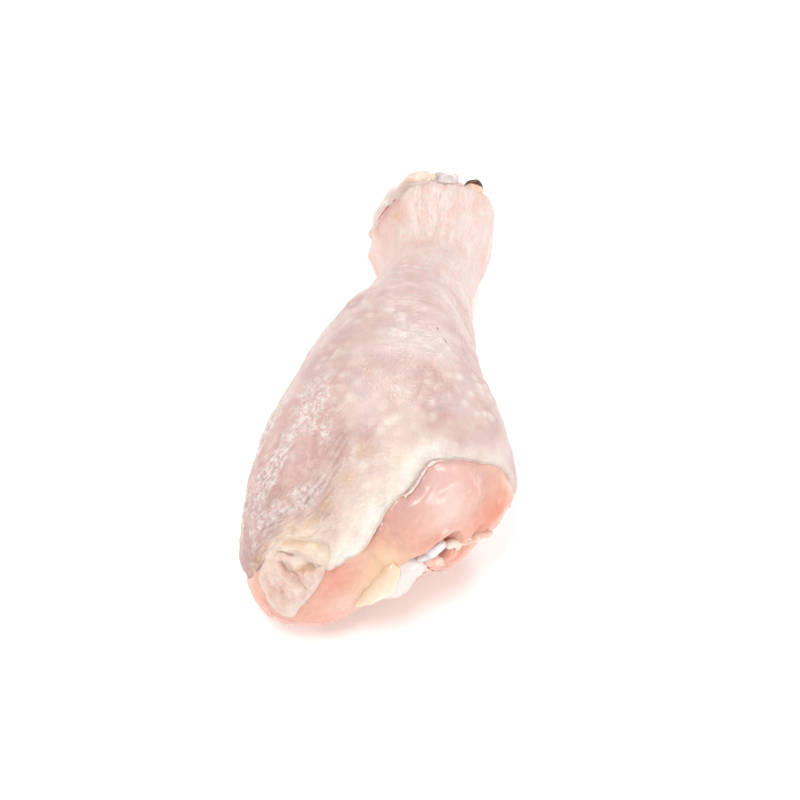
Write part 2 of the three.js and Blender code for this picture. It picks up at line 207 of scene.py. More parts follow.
def castShape(origins, directions, distanceTo, near, far, samples=64):
    # goes out along each ray to where the signed distance first turns positive
    steps = np.linspace(near, far, samples)
    before = distanceTo(origins + directions * steps[0], steps[0])
    reach = np.full(before.shape, far, float)
    found = np.zeros(before.shape, bool)
    for k in range(1, samples):
        after = distanceTo(origins + directions * steps[k], steps[k])
        crossing = ~found & (after > 0)
        share = np.where(crossing, -before / np.where(after - before == 0, 1, after - before), 0)
        reach = np.where(crossing, steps[k - 1] + (steps[k] - steps[k - 1]) * np.clip(share, 0, 1), reach)
        found |= crossing
        before = after
    return origins + directions * reach[..., None]


def ballDirections(rings, columns, axis=(0, 1, 0)):
    pole = unit(np.array(axis, float))
    side = unit(np.cross(pole, (0.31, 0.2, 0.93)))
    third = np.cross(pole, side)
    polar = (np.arange(1, rings) * math.pi / rings)[:, None, None]
    turn = (np.arange(columns) * 2 * math.pi / columns)[None, :, None]
    return np.cos(polar) * pole + np.sin(polar) * (np.cos(turn) * side + np.sin(turn) * third)


def smoothMin(a, b, width):
    share = np.clip(0.5 + 0.5 * (b - a) / width, 0, 1)
    return b + (a - b) * share - width * share * (1 - share)


def smoothMax(a, b, width):
    return -smoothMin(-a, -b, width)


def ellipsoidDistance(points, centre, direction, radii):
    long = unit(np.array(direction, float))
    level = unit(np.cross((0, 0, 1), long))
    local = (points - np.array(centre, float)) @ np.stack([long, level, np.cross(long, level)], axis=1)
    radii = np.array(radii, float)
    share = np.linalg.norm(local / radii, axis=-1)
    return share * (share - 1) / np.maximum(np.linalg.norm(local / radii**2, axis=-1), 1e-6)


# ---- nodes and colours ----
def addNode(tree, kind, inputs=None, **settings):
    made = tree.nodes.new(kind)
    for name, value in settings.items():
        setattr(made, name, value)
    for socket, value in (inputs or {}).items():
        if isinstance(value, bpy.types.NodeSocket):
            tree.links.new(value, made.inputs[socket])
        else:
            made.inputs[socket].default_value = value
    return made


def srgb(code):  # "#rrggbb" to linear
    parts = [int(code[k : k + 2], 16) / 255 for k in (1, 3, 5)]
    return (*[p / 12.92 if p <= 0.04045 else ((p + 0.055) / 1.055) ** 2.4 for p in parts], 1.0)


def startMaterial(name, **fixed):  # fixed values go on the shader's own sockets
    material = bpy.data.materials.new(name)
    material.use_nodes = True
    tree = material.node_tree
    shader = tree.nodes["Principled BSDF"]
    for socket, value in fixed.items():
        shader.inputs[socket].default_value = value
    place = addNode(tree, "ShaderNodeTexCoord").outputs["Object"]
    return material, tree, shader, place


def mixColour(tree, factor, first, second):
    made = addNode(tree, "ShaderNodeMix", {0: factor, 6: first, 7: second}, data_type="RGBA")
    return made.outputs[2]


def layered(tree, base, layers):  # each layer is (how much of it shows, its colour)
    for share, colour in layers:
        base = mixColour(tree, share, base, srgb(colour) if isinstance(colour, str) else colour)
    return base


def scaleFor(sizeInMm):  # a noise texture's scale from the size of its blobs
    return 1 / (sizeInMm * mm)


def noiseAt(tree, place, size, detail, roughness=0.5):
    return addNode(tree, "ShaderNodeTexNoise", {
        "Vector": place, "Scale": scaleFor(size), "Detail": float(detail), "Roughness": roughness,
    }).outputs["Fac"]


def stretched(tree, place, scale, rotation=(0.0, 0.0, 0.0)):
    made = addNode(tree, "ShaderNodeMapping", {"Vector": place, "Scale": scale, "Rotation": rotation})
    return made.outputs[0]


def wrinklesAt(tree, place, perMm, distortion, turn=0.0):  # place is in mm over the surface
    return addNode(tree, "ShaderNodeTexNoise", {
        "Vector": stretched(tree, place, perMm, (0.0, 0.0, turn)), "Scale": 1.0, "Detail": 3.0,
        "Distortion": distortion}).outputs["Fac"]


def spread(tree, value, low, high, toLow=0.0, toHigh=1.0):
    return addNode(tree, "ShaderNodeMapRange", {
        "Value": value, "From Min": low, "From Max": high, "To Min": toLow, "To Max": toHigh}).outputs[0]


def calculate(tree, operation, *values):
    return addNode(tree, "ShaderNodeMath", dict(enumerate(values)), operation=operation).outputs[0]


def twoTone(tree, pattern, low, high, dark, light):
    return mixColour(tree, spread(tree, pattern, low, high), srgb(dark), srgb(light))


def masksOf(tree, *names):  # what the mesh says about itself at each point
    return {name: addNode(tree, "ShaderNodeAttribute", attribute_name=name).outputs["Fac"] for name in names}


def addRelief(tree, shader, height, distance, strength, coated=False):
    bump = addNode(tree, "ShaderNodeBump", {"Height": height, "Distance": distance, "Strength": strength})
    for socket in ("Normal", "Coat Normal") if coated else ("Normal",):
        tree.links.new(bump.outputs[0], shader.inputs[socket])


def declarePiece(piece, node=None):
    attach(piece, "root")
    if node:
        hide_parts(node)
    print(piece.name, len(piece.data.polygons))


def startTree(name, floats):  # a geometry tree with these named inputs beside the usual ones
    tree = bpy.data.node_groups.new(name, "GeometryNodeTree")
    sockets = [("Geometry", "NodeSocketGeometry"), *[(key, "NodeSocketFloat") for key in floats],
               ("Seed", "NodeSocketInt"), ("Material", "NodeSocketMaterial")]
    for key, kind in sockets:
        tree.interface.new_socket(key, in_out="INPUT", socket_type=kind)
    tree.interface.new_socket("Geometry", in_out="OUTPUT", socket_type="NodeSocketGeometry")
    return tree, addNode(tree, "NodeGroupInput").outputs


def endTree(tree, geometry, material):
    whole = addNode(tree, "GeometryNodeRealizeInstances", {"Geometry": geometry})
    dressed = addNode(tree, "GeometryNodeSetMaterial", {"Geometry": whole.outputs[0], "Material": material})
    addNode(tree, "NodeGroupOutput", {"Geometry": dressed.outputs[0]})
    return tree


def applyNodes(piece, tree, values):  # runs the tree on the piece and keeps the result as a plain mesh
    modifier = piece.modifiers.new("nodes", "NODES")
    modifier.node_group = tree
    for item in tree.interface.items_tree:
        if item.in_out == "INPUT" and item.name in values:
            modifier[item.identifier] = values[item.name]
    graph = bpy.context.evaluated_depsgraph_get()
    ready = piece.evaluated_get(graph)
    mesh = bpy.data.meshes.new_from_object(ready, preserve_all_data_layers=True, depsgraph=graph)
    piece.modifiers.remove(modifier)
    piece.data = mesh
    mesh.shade_smooth()


# soft flesh lets light in and is wet on top
wetFlesh = {
    "Subsurface Radius": (1.0, 0.52, 0.4), "Subsurface Scale": 0.0022, "Coat Roughness": 0.12, "IOR": 1.42,
}


def spotAt(points, place, radius):
    return np.exp(-((np.linalg.norm(points - np.array(place), axis=-1) / radius) ** 2))


def spotsAt(points, spots):  # each spot is (strength, place, radius)
    return sum(strength * spotAt(points, place, radius) for strength, place, radius in spots)


# ---- floor, lights and camera ----
studio = {
    "floorSize": 3.0, "floorColour": "#fbfafa",
    "worldStrength": 0.43,
    "cameraAzimuth": 3.0, "cameraElevation": 47.0, "cameraDistance": 468.0, "lens": 102.0,
    "cameraTarget": (2.7, -5.2, 18.0),
    # name: place in mm, size in mm, watts, colour
    "lights": {
        "keyLight": ((-90, -280, 540), 190, 1.5, "#fffdfb"),
        "frontLight": ((480, -300, 190), 170, 0.75, "#ffffff"),
        "sideLight": ((-520, -40, 260), 110, 0.62, "#fff3ec"),
        "backLight": ((200, 380, 420), 240, 1.25, "#ffffff"),
    },
}


def makeStudio(s):
    half = s["floorSize"] / 2
    mesh = bpy.data.meshes.new("floor")
    corners = [(-half, -half, 0), (half, -half, 0), (half, half, 0), (-half, half, 0)]
    mesh.from_pydata(corners, [], [(0, 1, 2, 3)])
    # a matt white sweep of paper, faintly lit from below
    paper, tree, shader, place = startMaterial("mattWhitePaper", **{
        "Roughness": 0.95, "Emission Color": (1, 1, 1, 1), "Emission Strength": 0.2})
    colour = mixColour(tree, noiseAt(tree, place, 40, 3), srgb(s["floorColour"]), srgb("#ffffff"))
    tree.links.new(colour, shader.inputs["Base Color"])
    mesh.materials.append(paper)
    floor = bpy.data.objects.new("floor", mesh)
    bpy.context.scene.collection.objects.link(floor)
    for name, (place, size, watts, colour) in s["lights"].items():
        data = bpy.data.lights.new(name, "AREA")
        data.shape, data.size, data.energy, data.color = "DISK", size * mm, watts, srgb(colour)[:3]
        light = bpy.data.objects.new(name, data)
        light.location = Vector(place) * mm
        light.rotation_euler = (Vector((0, 0, 15)) - Vector(place)).to_track_quat("-Z", "Y").to_euler()
        bpy.context.scene.collection.objects.link(light)
    world = bpy.data.worlds.new("studioAir")
    world.use_nodes = True
    world.node_tree.nodes["Background"].inputs["Color"].default_value = (1, 1, 1, 1)
    world.node_tree.nodes["Background"].inputs["Strength"].default_value = s["worldStrength"]
    bpy.context.scene.world = world
    azimuth, elevation = math.radians(s["cameraAzimuth"]), math.radians(s["cameraElevation"])
    level = math.cos(elevation)
    back = Vector((math.sin(azimuth) * level, -math.cos(azimuth) * level, math.sin(elevation)))
    data = bpy.data.cameras.new("camera")
    data.lens, data.sensor_width = s["lens"], 36
    camera = bpy.data.objects.new("camera", data)
    camera.location = (Vector(s["cameraTarget"]) + back * s["cameraDistance"]) * mm
    camera.rotation_euler = back.to_track_quat("Z", "Y").to_euler()
    bpy.context.scene.collection.objects.link(camera)
    bpy.context.scene.camera = camera
    bpy.context.scene.view_settings.view_transform = "Standard"


makeStudio(studio)
print("studio ready")

# ---- skin ----
skin = {
    "columns": 340, "outerRings": 226, "innerRings": 26, "lipRings": 7,
    "thickness": 1.3, "fattyExtra": 0.55,
    # angle round the leg in degrees, then distance from the knee tip at which the skin stops
    "kneeEdge": [
        (0, 36.9), (6.5, 36.6), (14.8, 36.0), (23, 34.3), (36, 32.6), (49, 31.4), (58, 30.5), (64, 29.9),
        (67, 28.8), (68.6, 26.9), (70.4, 25.0), (73.6, 23.9), (78, 22.1), (80.4, 20.2), (82.0, 18.2),
        (83.4, 16.0), (85.0, 14.4), (88.2, 13.0), (93, 11.8), (98, 10.8), (104, 10.6), (109, 12.4),
        (116, 15.5), (135, 18.2), (150, 18.0), (163, 17.8), (177, 19.4), (188, 23.8), (210, 27.4),
        (230, 29.7), (270, 33.3), (320, 36.0), (360, 36.9),
    ],
    # the same at the hock
    "hockEdge": [
        (0, 130.0), (22, 130.3), (36, 130.9), (44, 130.6), (51, 129.9), (61, 128.9), (69, 127.7),
        (78, 126.9), (87, 128.1), (95, 130.0), (104, 131.4), (111, 131.0), (117, 129.8), (123, 128.1),
        (131, 126.8), (141, 125.6), (152, 124.3), (168, 124.3), (200, 126.9), (250, 128.2), (300, 129.1),
        (360, 130.0),
    ],
    # how far the creamy fat reaches in from the cut
    "fattyReach": [
        (0, 1.6), (50, 2.2), (64, 4.0), (78, 7.6), (100, 9.0), (120, 7.0), (138, 2.6), (185, 1.6),
        (240, 1.6), (360, 1.6),
    ],
    # the fold between the creamy fat and the calf, as (distance, angle)
    "foldLine": [
        (32, 94), (28.7, 96.8), (25.1, 104.2), (21.9, 112.2), (20.9, 119.3), (20.0, 130), (19.6, 141),
        (19.2, 156),
    ],
    # yellowish stains: (distance, angle), how far they spread, and how strong they are
    "yellowSpots": [
        ((48, 95), (4, 1.0), 0.22), ((30.5, 80), (2.2, 1.4), 0.25), ((30, 170), (2.4, 7), 0.6),
        ((119.5, 122), (1.6, 4), 0.7), ((16, 164), (4, 12), 0.3),
    ],
    # masks that the rolled edges and the inside share with the outside
    "edgeMasks": ("fatty", "neck", "rosy", "blushAndPaintedLight", "rim"),
    "pimpleSpacing": 1.6, "pimpleRadius": 1.7, "pimpleHeight": 0.2, "pimpleSeed": 4,
    "grainSpacing": 0.52, "grainSize": 0.26, "grainSeed": 9,
}
kneeEdgeCurve = curveThrough(skin["kneeEdge"])
hockEdgeCurve = curveThrough(skin["hockEdge"])
fattyReachCurve = curveThrough(skin["fattyReach"])


def degrees(angle):
    return np.degrees(angle) % 360


def fromBelow(angle):  # -90 to 270 degrees in radians, so that patterns meet underneath
    return (angle + math.pi / 2) % (2 * math.pi) - math.pi / 2


def kneeEdgeArc(angle):  # the cut is slightly scalloped
    angle = np.asarray(angle, float)
    ripple = 0.2 * np.sin(13 * angle + 2.5 * np.sin(3 * angle))
    ripple = ripple + 0.1 * np.sin(41 * angle + 3 * np.sin(7 * angle))
    return kneeEdgeCurve(degrees(angle)) + ripple


def hockEdgeArc(angle):
    angle = np.asarray(angle, float)
    edge = hockEdgeCurve(degrees(angle)) + 0.3 * np.sin(17 * angle + 1.2 * np.sin(4 * angle))
    return edge + 0.12 * np.sin(53 * angle)


def distanceToLine(arc, angle, lineArc, lineAngle):
    nearest = np.full(np.broadcast(arc, angle).shape, 1e9)
    squeeze = leg["roundRadius"] * np.minimum(1, arc / 25)
    for a, t in zip(lineArc, lineAngle):
        apart = np.arctan2(np.sin(angle - t), np.cos(angle - t)) * squeeze
        nearest = np.minimum(nearest, np.hypot(arc - a, apart))
    return nearest


def pastKneeEdge(arc, angle):  # distance from the cut, below 0 where the meat is bare
    lineAngle = np.linspace(0, 2 * math.pi, 220, endpoint=False)
    away = distanceToLine(arc, angle, kneeEdgeArc(lineAngle), lineAngle)
    return np.where(arc > kneeEdgeArc(angle), away, -away)


def finerLine(knots, count):  # a smooth line through the knots, one array for each coordinate
    place = np.linspace(0, len(knots) - 1, count)
    return [curveThrough(list(enumerate(column)))(place) for column in zip(*knots)]


def skinMasks(arc, angle):
    turn = degrees(angle)
    away = pastKneeEdge(arc, angle)
    foldArc, foldAngle = finerLine(skin["foldLine"], 60)
    fold = distanceToLine(arc, angle, foldArc, np.radians(foldAngle))
    flat = np.stack([arc, np.degrees(fromBelow(angle)) * 0.38], axis=-1)
    reach = fattyReachCurve(turn)
    fatty = 1 - smooth(away + 0.11 * reach * softNoise(flat, 5, 21), 0.4 * reach, 1.3 * reach)
    fatty = fatty * (0.5 + 0.5 * smooth(turn, 62, 80)) * (1 - smooth(turn, 138, 160))
    # the wet patch on the calf: strings of grains with rosy skin between them
    wetStart = 21 - 8 * smooth(turn, 128, 146)
    wet = window(turn, 102, 112, 158, 184) * window(arc, wetStart, wetStart + 5, 40, 56)
    wet = wet * (1 - fatty) * smooth(fold, 0.8, 3)
    strings = np.stack([(arc + 0.25 * turn) * 0.8, (turn - arc) * 0.2], axis=-1)
    streak = softNoise(strings, 8, 5, 20) + 0.6 * softNoise(flat, 4, 25)
    grain = wet * (0.15 + 0.85 * smooth(streak, -1.0, 0.9))
    side = window(turn, 128, 158, 235, 275) * (1 - smooth(arc, 60, 96)) * (0.7 + 0.3 * smooth(arc, 22, 36))
    rosy = 0.75 * side * smooth(softNoise(flat, 12, 17), -1.6, 1.2)
    rosy = np.maximum(rosy, 0.65 * wet * (1 - smooth(streak, -0.9, 0.5)))
    yellow = 0.55 * np.exp(-fold / 1.1) * smooth(softNoise(flat, 4, 23), -0.9, 0.8)
    for place, sizes, strength in skin["yellowSpots"]:
        yellow = np.maximum(yellow, strength * spot(arc, place[0], sizes[0]) * spot(turn, place[1], sizes[1]))
    blood = 0.32 * spot(hockEdgeArc(angle) - arc, 1.5, 4.0) * window(turn, 112, 120, 146, 158)
    # rim paints the skin beside the knee cut near-white: painted light lifting the shade where the skin
    # curves down to its thin edge
    rim = (0.35 + 0.65 * smooth(turn, 55, 68)) * spot(away, 0.8, 3.2) * window(turn, 8, 28, 96, 110)
    besideFold = np.exp(-(((fold - 3.0) / 4.5) ** 2)) * (1 - 0.8 * fatty) * smooth(turn, 96, 104)
    lower = window(turn, 116, 136, 190, 225) * (1 - smooth(arc, 28, 50)) * (1 - fatty)
    return {
        "turn": turn, "away": away, "fold": fold, "fatty": fatty, "grain": grain, "rosy": rosy, "rim": rim,
        "along": arc, "around": fromBelow(angle) * leg["roundRadius"],
        "yellow": np.minimum(yellow, 1), "blood": blood, "crinkle": np.maximum(besideFold, lower),
        # the blush on the neck's left side is partly its own pink and partly painted light, lightening the
        # side the lamps leave in shade
        "neck": smooth(arc, 68, 112), "blushAndPaintedLight": 0.75 * spot(turn, 144, 28) * smooth(arc, 90, 118),
    }


def skinHeight(arc, angle, mask):
    flat = np.stack([arc, fromBelow(angle) * 18], axis=-1)
    point = legPoint(arc, angle)
    free = 1 - smooth(-np.sin(angle), 0.82, 0.96)  # pressed flat underneath
    dents = 0.3 * np.sin(arc * 0.18 + 2 * np.cos(angle)) * np.sin(3 * angle + arc * 0.055)
    dents = dents - 1.0 * spot(mask["turn"], 172, 26) * spot(arc, 34, 8)
    lumps = 0.16 * softNoise(point, 11, 1) + 0.08 * softNoise(point, 4.6, 2)
    folds = 0.22 * np.sin(9 * angle + arc * 0.065 + 1.3 * np.sin(arc * 0.12))
    folds = folds + 0.1 * np.sin(24 * angle + 0.9 * softNoise(flat / [3, 1], 9, 3))
    folds = folds * window(arc, 80, 98, 122, 129)
    wrinkles = 0.06 * np.sin(arc * 2.9 + 2.6 * softNoise(flat / [1, 2.6], 7, 4))
    wrinkles = wrinkles * smooth(softNoise(point, 12, 6), -0.6, 0.8) * window(arc, 26, 36, 84, 98)
    # the fatty edge is thick and pleated
    thick = mask["fatty"] * smooth(mask["turn"], 66, 84)
    pad = 0.65 * thick * smooth(mask["away"], -2.5, 2.0)
    pleats = 0.16 * np.sin(26 * angle + 1.6 * softNoise(flat / [2.4, 1], 8, 7))
    pleats = pleats + 0.14 * softNoise(flat, 3.4, 8, 24)
    waves = 0.15 * np.sin(mask["away"] * 2.3 + 1.8 * softNoise(flat, 6, 18))
    pleats = thick * (pleats + waves * smooth(softNoise(flat, 5, 19), -0.8, 0.9))
    # the fold dips, and fine lines run beside it
    foldDip = -0.32 * spot(mask["fold"], 0, 0.75)
    nearFold = np.exp(-((mask["fold"] - 2.5) / 4.0) ** 2) * (1 - 0.7 * mask["fatty"])
    nearFold = nearFold * smooth(mask["turn"], 97, 104)
    foldLines = 0.3 * nearFold * np.sin(mask["fold"] * 5.0 + 1.4 * softNoise(flat, 6, 9))
    foldLines = foldLines * smooth(softNoise(flat, 6, 12), -1.4, 0.2)
    foldLines = foldLines + 0.16 * mask["rosy"] * window(arc, 14, 20, 32, 44) * softNoise(point, 1.9, 16, 24)
    grit = mask["grain"] * 0.08 * softNoise(point, 1.6, 10, 30)
    return free * (dents + lumps + folds + wrinkles + pad + pleats + foldDip + foldLines + grit)


def skinColumns(count):  # closer together where the cut turns steeply along the leg
    angle = np.linspace(0, 2 * math.pi, 4001)
    slope = np.gradient(kneeEdgeCurve(degrees(angle)), angle)
    length = np.concatenate([[0], np.cumsum(np.hypot(leg["roundRadius"], np.clip(slope, -150, 150))[1:])])
    return np.interp(np.arange(count) / count * length[-1], length, angle)


def skinThick(mask):
    fat = mask["fatty"] * smooth(mask["turn"], 62, 84) * np.exp(-np.maximum(mask["away"], 0) / 6)
    return skin["thickness"] + skin["fattyExtra"] * fat


def skinSleeve():
    closer = skinColumns(skin["columns"])[None, :]
    even = np.linspace(0, 2 * math.pi, skin["columns"], endpoint=False)[None, :]

    def gridAt(count):
        share = np.linspace(0, 1, count)[:, None]
        angle = closer + (even - closer) * smooth(share, 0.15, 0.7)
        return hockEdgeArc(angle) * share + kneeEdgeArc(angle) * (1 - share) ** 2.6, angle

    arc, angle = gridAt(skin["outerRings"])
    mask = skinMasks(arc, angle)
    # the outside comes down towards both cuts, so that the skin ends thin
    thinEdge = (skinThick(mask) - 0.48 - 0.45 * mask["fatty"]) * np.exp(-((mask["away"] / 1.7) ** 2))
    thinEdge = thinEdge + 0.6 * np.exp(-(((hockEdgeArc(angle) - arc) / 1.3) ** 2))
    height = skinHeight(arc, angle, mask) - thinEdge
    outer = insetPoint(arc, angle, -height)
    innerArc, innerAngle = (grid[::-1] for grid in gridAt(skin["innerRings"]))
    innerMask = skinMasks(innerArc, innerAngle)
    innerHeight = np.minimum(skinHeight(innerArc, innerAngle, innerMask), 0.6)
    inner = insetPoint(innerArc, innerAngle, skinThick(innerMask) - innerHeight)

    def lip(fromRing, toRing, rim):  # a rounded edge that swells a little past the cut
        rings = []
        middle = (fromRing + toRing) / 2
        tangent = unit(np.roll(middle, -1, axis=0) - np.roll(middle, 1, axis=0))
        across = fromRing - toRing
        past = unit(np.cross(across, tangent))
        past = past * np.sign((past * rim).sum(axis=-1).mean())
        swell = np.linalg.norm(across, axis=-1, keepdims=True) * 0.62
        for k in range(1, skin["lipRings"] + 1):
            turn = math.pi * k / (skin["lipRings"] + 1)
            rings.append(middle + across / 2 * math.cos(turn) + past * swell * math.sin(turn))
        return np.array(rings)

    alongLeg = outer[1] - outer[0]
    hockLip = lip(outer[-1], inner[0], outer[-1] - outer[-2])
    kneeLip = lip(inner[-1], outer[0], -alongLeg)
    rings = np.concatenate([outer, hockLip, inner, kneeLip])
    rings[..., 2] = np.maximum(rings[..., 2], 0)
    pimpled = (1 - smooth(mask["fatty"], 0.1, 0.6)) * (1 - 0.8 * mask["grain"]) * smooth(mask["away"], 3, 8)
    mask["pimpled"] = pimpled * (1 - smooth(-np.sin(angle), 0.55, 0.8))  # none underneath
    outsideOnly = ("grain", "yellow", "blood", "crinkle", "along", "around", "fold", "pimpled")
    masks = {}
    for key in (*skin["edgeMasks"], *outsideOnly):
        values = np.zeros(rings.shape[:2])
        values[: len(outer)] = mask[key]
        if key in skin["edgeMasks"]:
            values[len(outer) : len(outer) + len(hockLip)] = mask[key][-1]
            values[len(outer) + len(hockLip) : -len(kneeLip)] = innerMask[key]
            values[-len(kneeLip) :] = mask[key][0]
        masks[key] = values.reshape(-1)
    return shellFrom(rings, closedLoop=True), masks


def pimpleTree():  # feather pimples: raised dots spread over the skin, with a mask the material reads
    tree, given = startTree("featherPimples", ("Spacing", "Radius", "Height"))
    mask = addNode(tree, "GeometryNodeInputNamedAttribute", {"Name": "pimpled"}, data_type="FLOAT").outputs[0]
    dots = addNode(tree, "GeometryNodeDistributePointsOnFaces", {
        "Mesh": given["Geometry"], "Distance Min": given["Spacing"], "Density Max": 2.1e5,
        "Density Factor": mask, "Seed": given["Seed"]}, distribute_method="POISSON")
    near = addNode(tree, "GeometryNodeProximity", {0: dots.outputs["Points"]}, target_element="POINTS")
    strength = addNode(tree, "ShaderNodeMapRange", {
        "Value": near.outputs["Distance"], "From Max": given["Radius"], "To Min": 1.0, "To Max": 0.0},
        interpolation_type="SMOOTHSTEP").outputs[0]
    # they fade in patches, and no two stand equally high
    uneven = addNode(tree, "ShaderNodeTexNoise", {"Scale": scaleFor(3.4), "Detail": 1.0}).outputs["Fac"]
    patchy = addNode(tree, "ShaderNodeTexNoise", {"Scale": scaleFor(9), "Detail": 2.0}).outputs["Fac"]
    for share in (spread(tree, uneven, 0.36, 0.6, 0.3), mask, spread(tree, patchy, 0.38, 0.62, 0.1)):
        strength = calculate(tree, "MULTIPLY", strength, share)
    kept = addNode(tree, "GeometryNodeStoreNamedAttribute", {
        "Geometry": given["Geometry"], "Name": "pimple", "Value": strength,
    }, data_type="FLOAT", domain="POINT")
    lift = calculate(tree, "MULTIPLY", strength, given["Height"])
    normal = addNode(tree, "GeometryNodeInputNormal").outputs[0]
    offset = addNode(tree, "ShaderNodeVectorMath", {0: normal, "Scale": lift}, operation="SCALE")
    moved = addNode(tree, "GeometryNodeSetPosition", {
        "Geometry": kept.outputs[0], "Offset": offset.outputs[0]})
    return endTree(tree, moved.outputs[0], given["Material"])


# raw chicken skin: soft, wet and slightly see-through, pale pink where it lies on meat, creamy where on fat
def rawSkin():
    material, tree, shader, place = startMaterial("rawChickenSkin", **{
        **wetFlesh, "Subsurface Weight": 0.25, "Coat Roughness": 0.2})
    mask = masksOf(
        tree, *skin["edgeMasks"], "grain", "pimple", "yellow", "blood", "crinkle", "along", "around", "fold")
    cool = noiseAt(tree, place, 6, 4)
    base = twoTone(tree, noiseAt(tree, place, 14, 3, 0.55), 0.38, 0.62, "#d0aca5", "#e7d1ca")
    # the neck is paler, streaked along its length with pink and pearly white
    lengthwise = stretched(tree, place, (1.0, 0.3, 1.0))
    neckColour = twoTone(tree, noiseAt(tree, lengthwise, 3.2, 5, 0.6), 0.36, 0.62, "#f0c9be", "#f6e0da")
    # over the wet patch: pale fat grains, their near-white streaks partly a painted sheen standing in for the
    # patch's glints
    grainyWithPaintedSheen = twoTone(tree, noiseAt(tree, place, 1.1, 4, 0.7), 0.42, 0.6, "#dcb9b2", "#f8eae6")
    cream = mixColour(tree, noiseAt(tree, place, 5, 3), srgb("#efd6c0"), srgb("#f6e6da"))
    combed = noiseAt(tree, stretched(tree, place, (1.0, 0.35, 0.6)), 2.6, 3)
    streak = spread(tree, combed, 0.3, 0.6, 0.45)
    base = layered(tree, base, (
        (spread(tree, cool, 0.5, 0.7, 0.0, 0.55), "#cfb8bf"), (mask["neck"], neckColour),
        # the blush is partly the neck's own pink and partly painted light on its shaded left side
        (mask["blushAndPaintedLight"], "#fad5cb"), (mask["rosy"], "#cfa29a"),
        (calculate(tree, "MULTIPLY", mask["pimple"], 0.9), "#f4e6dc"), (mask["grain"], grainyWithPaintedSheen),
        (calculate(tree, "MULTIPLY", mask["fatty"], streak), cream),
        # painted light: the rim beside the knee cut is lifted toward near-white
        (calculate(tree, "MULTIPLY", mask["rim"], streak), "#fff4eb"),
        (mask["yellow"], "#e2c08c"), (mask["blood"], "#c23f37")))
    tree.links.new(base, shader.inputs["Base Color"])
    # fine cells of the skin about 0.5 mm across between soft creases
    cells = addNode(tree, "ShaderNodeTexVoronoi", {
        "Vector": place, "Scale": scaleFor(0.55)}, feature="SMOOTH_F1")
    creases = noiseAt(tree, place, 1.6, 5, 0.62)
    # wrinkles 1.2 mm apart run across the calf, and finer ones along the neck
    over = addNode(tree, "ShaderNodeCombineXYZ", {"X": mask["along"], "Y": mask["around"]}).outputs[0]
    wrinkled = addNode(tree, "ShaderNodeMix", {
        0: spread(tree, mask["neck"], 0.02, 0.3), 2: wrinklesAt(tree, over, (0.85, 0.16, 1.0), 0.4, 0.1),
        3: wrinklesAt(tree, over, (0.3, 1.1, 1.0), 0.5)}).outputs[0]
    deeper = spread(tree, mask["neck"], 0.0, 1.0, 1.5, 3.2)
    relief = calculate(tree, "MULTIPLY_ADD", wrinkled, deeper, creases)
    relief = calculate(tree, "ADD", relief, cells.outputs["Distance"])
    # crinkles 0.8 mm apart run along the fold
    beside = addNode(tree, "ShaderNodeCombineXYZ", {"X": mask["fold"], "Y": mask["around"]}).outputs[0]
    creased = calculate(tree, "MULTIPLY", wrinklesAt(tree, beside, (1.25, 0.28, 1.0), 0.5), mask["crinkle"])
    relief = calculate(tree, "MULTIPLY_ADD", creased, 5.0, relief)
    addRelief(tree, shader, relief, spread(tree, mask["grain"], 0.0, 1.0, 0.00024, 0.0003), 0.8, coated=True)
    wetness = calculate(tree, "MAXIMUM", mask["grain"], mask["fatty"])
    matt = spread(tree, cool, 0.3, 0.7, 0.38, 0.52)
    for socket, share, dry, wet in (
            ("Roughness", mask["grain"], matt, 0.2), ("Coat Weight", wetness, 0.25, 0.65)):
        blend = addNode(tree, "ShaderNodeMix", {0: share, 2: dry, 3: wet})
        tree.links.new(blend.outputs[0], shader.inputs[socket])
    return material


def grainTree():  # tiny wet grains of fat that stand on the skin wherever the mask says so
    tree, given = startTree("wetGrains", ("Spacing", "Size"))
    mask = addNode(tree, "GeometryNodeInputNamedAttribute", {"Name": "grain"}, data_type="FLOAT").outputs[0]
    dots = addNode(tree, "GeometryNodeDistributePointsOnFaces", {
        "Mesh": given["Geometry"], "Distance Min": given["Spacing"], "Density Max": 2.6e6,
        "Density Factor": spread(tree, mask, 0.25, 0.9), "Seed": given["Seed"]}, distribute_method="POISSON")
    grain = addNode(tree, "GeometryNodeMeshUVSphere", {"Segments": 6, "Rings": 4, "Radius": 1.0})
    flat = addNode(tree, "GeometryNodeTransform", {
        "Geometry": grain.outputs["Mesh"], "Scale": (1.0, 0.7, 0.22)})
    share = addNode(tree, "FunctionNodeRandomValue", {
        "Min": 0.25, "Max": 1.0, "Seed": given["Seed"]}, data_type="FLOAT")
    size = calculate(tree, "MULTIPLY", share.outputs[1], given["Size"])
    spin = addNode(tree, "FunctionNodeRandomValue", {
        "Min": (0.0, 0.0, 0.0), "Max": (0.3, 0.3, 6.28)}, data_type="FLOAT_VECTOR")
    turned = addNode(tree, "FunctionNodeRotateRotation", {
        "Rotation": dots.outputs["Rotation"], "Rotate By": spin.outputs[0]}, rotation_space="LOCAL")
    placed = addNode(tree, "GeometryNodeInstanceOnPoints", {
        "Points": dots.outputs["Points"], "Instance": flat.outputs[0], "Rotation": turned.outputs[0],
        "Scale": size})
    return endTree(tree, placed.outputs[0], given["Material"])


# grains of fat in a film of water: pinkish white, lightened to near-white as painted glints since their real
# glints are too small to show; the coat also makes them glint
def wetFatGrains():
    material, tree, shader, place = startMaterial("wetFatGrains", **{
        **wetFlesh, "Subsurface Weight": 0.3, "Coat Weight": 0.45, "Roughness": 0.28})
    colour = mixColour(tree, noiseAt(tree, place, 2.5, 2), srgb("#efd6cf"), srgb("#fbf1ec"))
    tree.links.new(colour, shader.inputs["Base Color"])
    return material


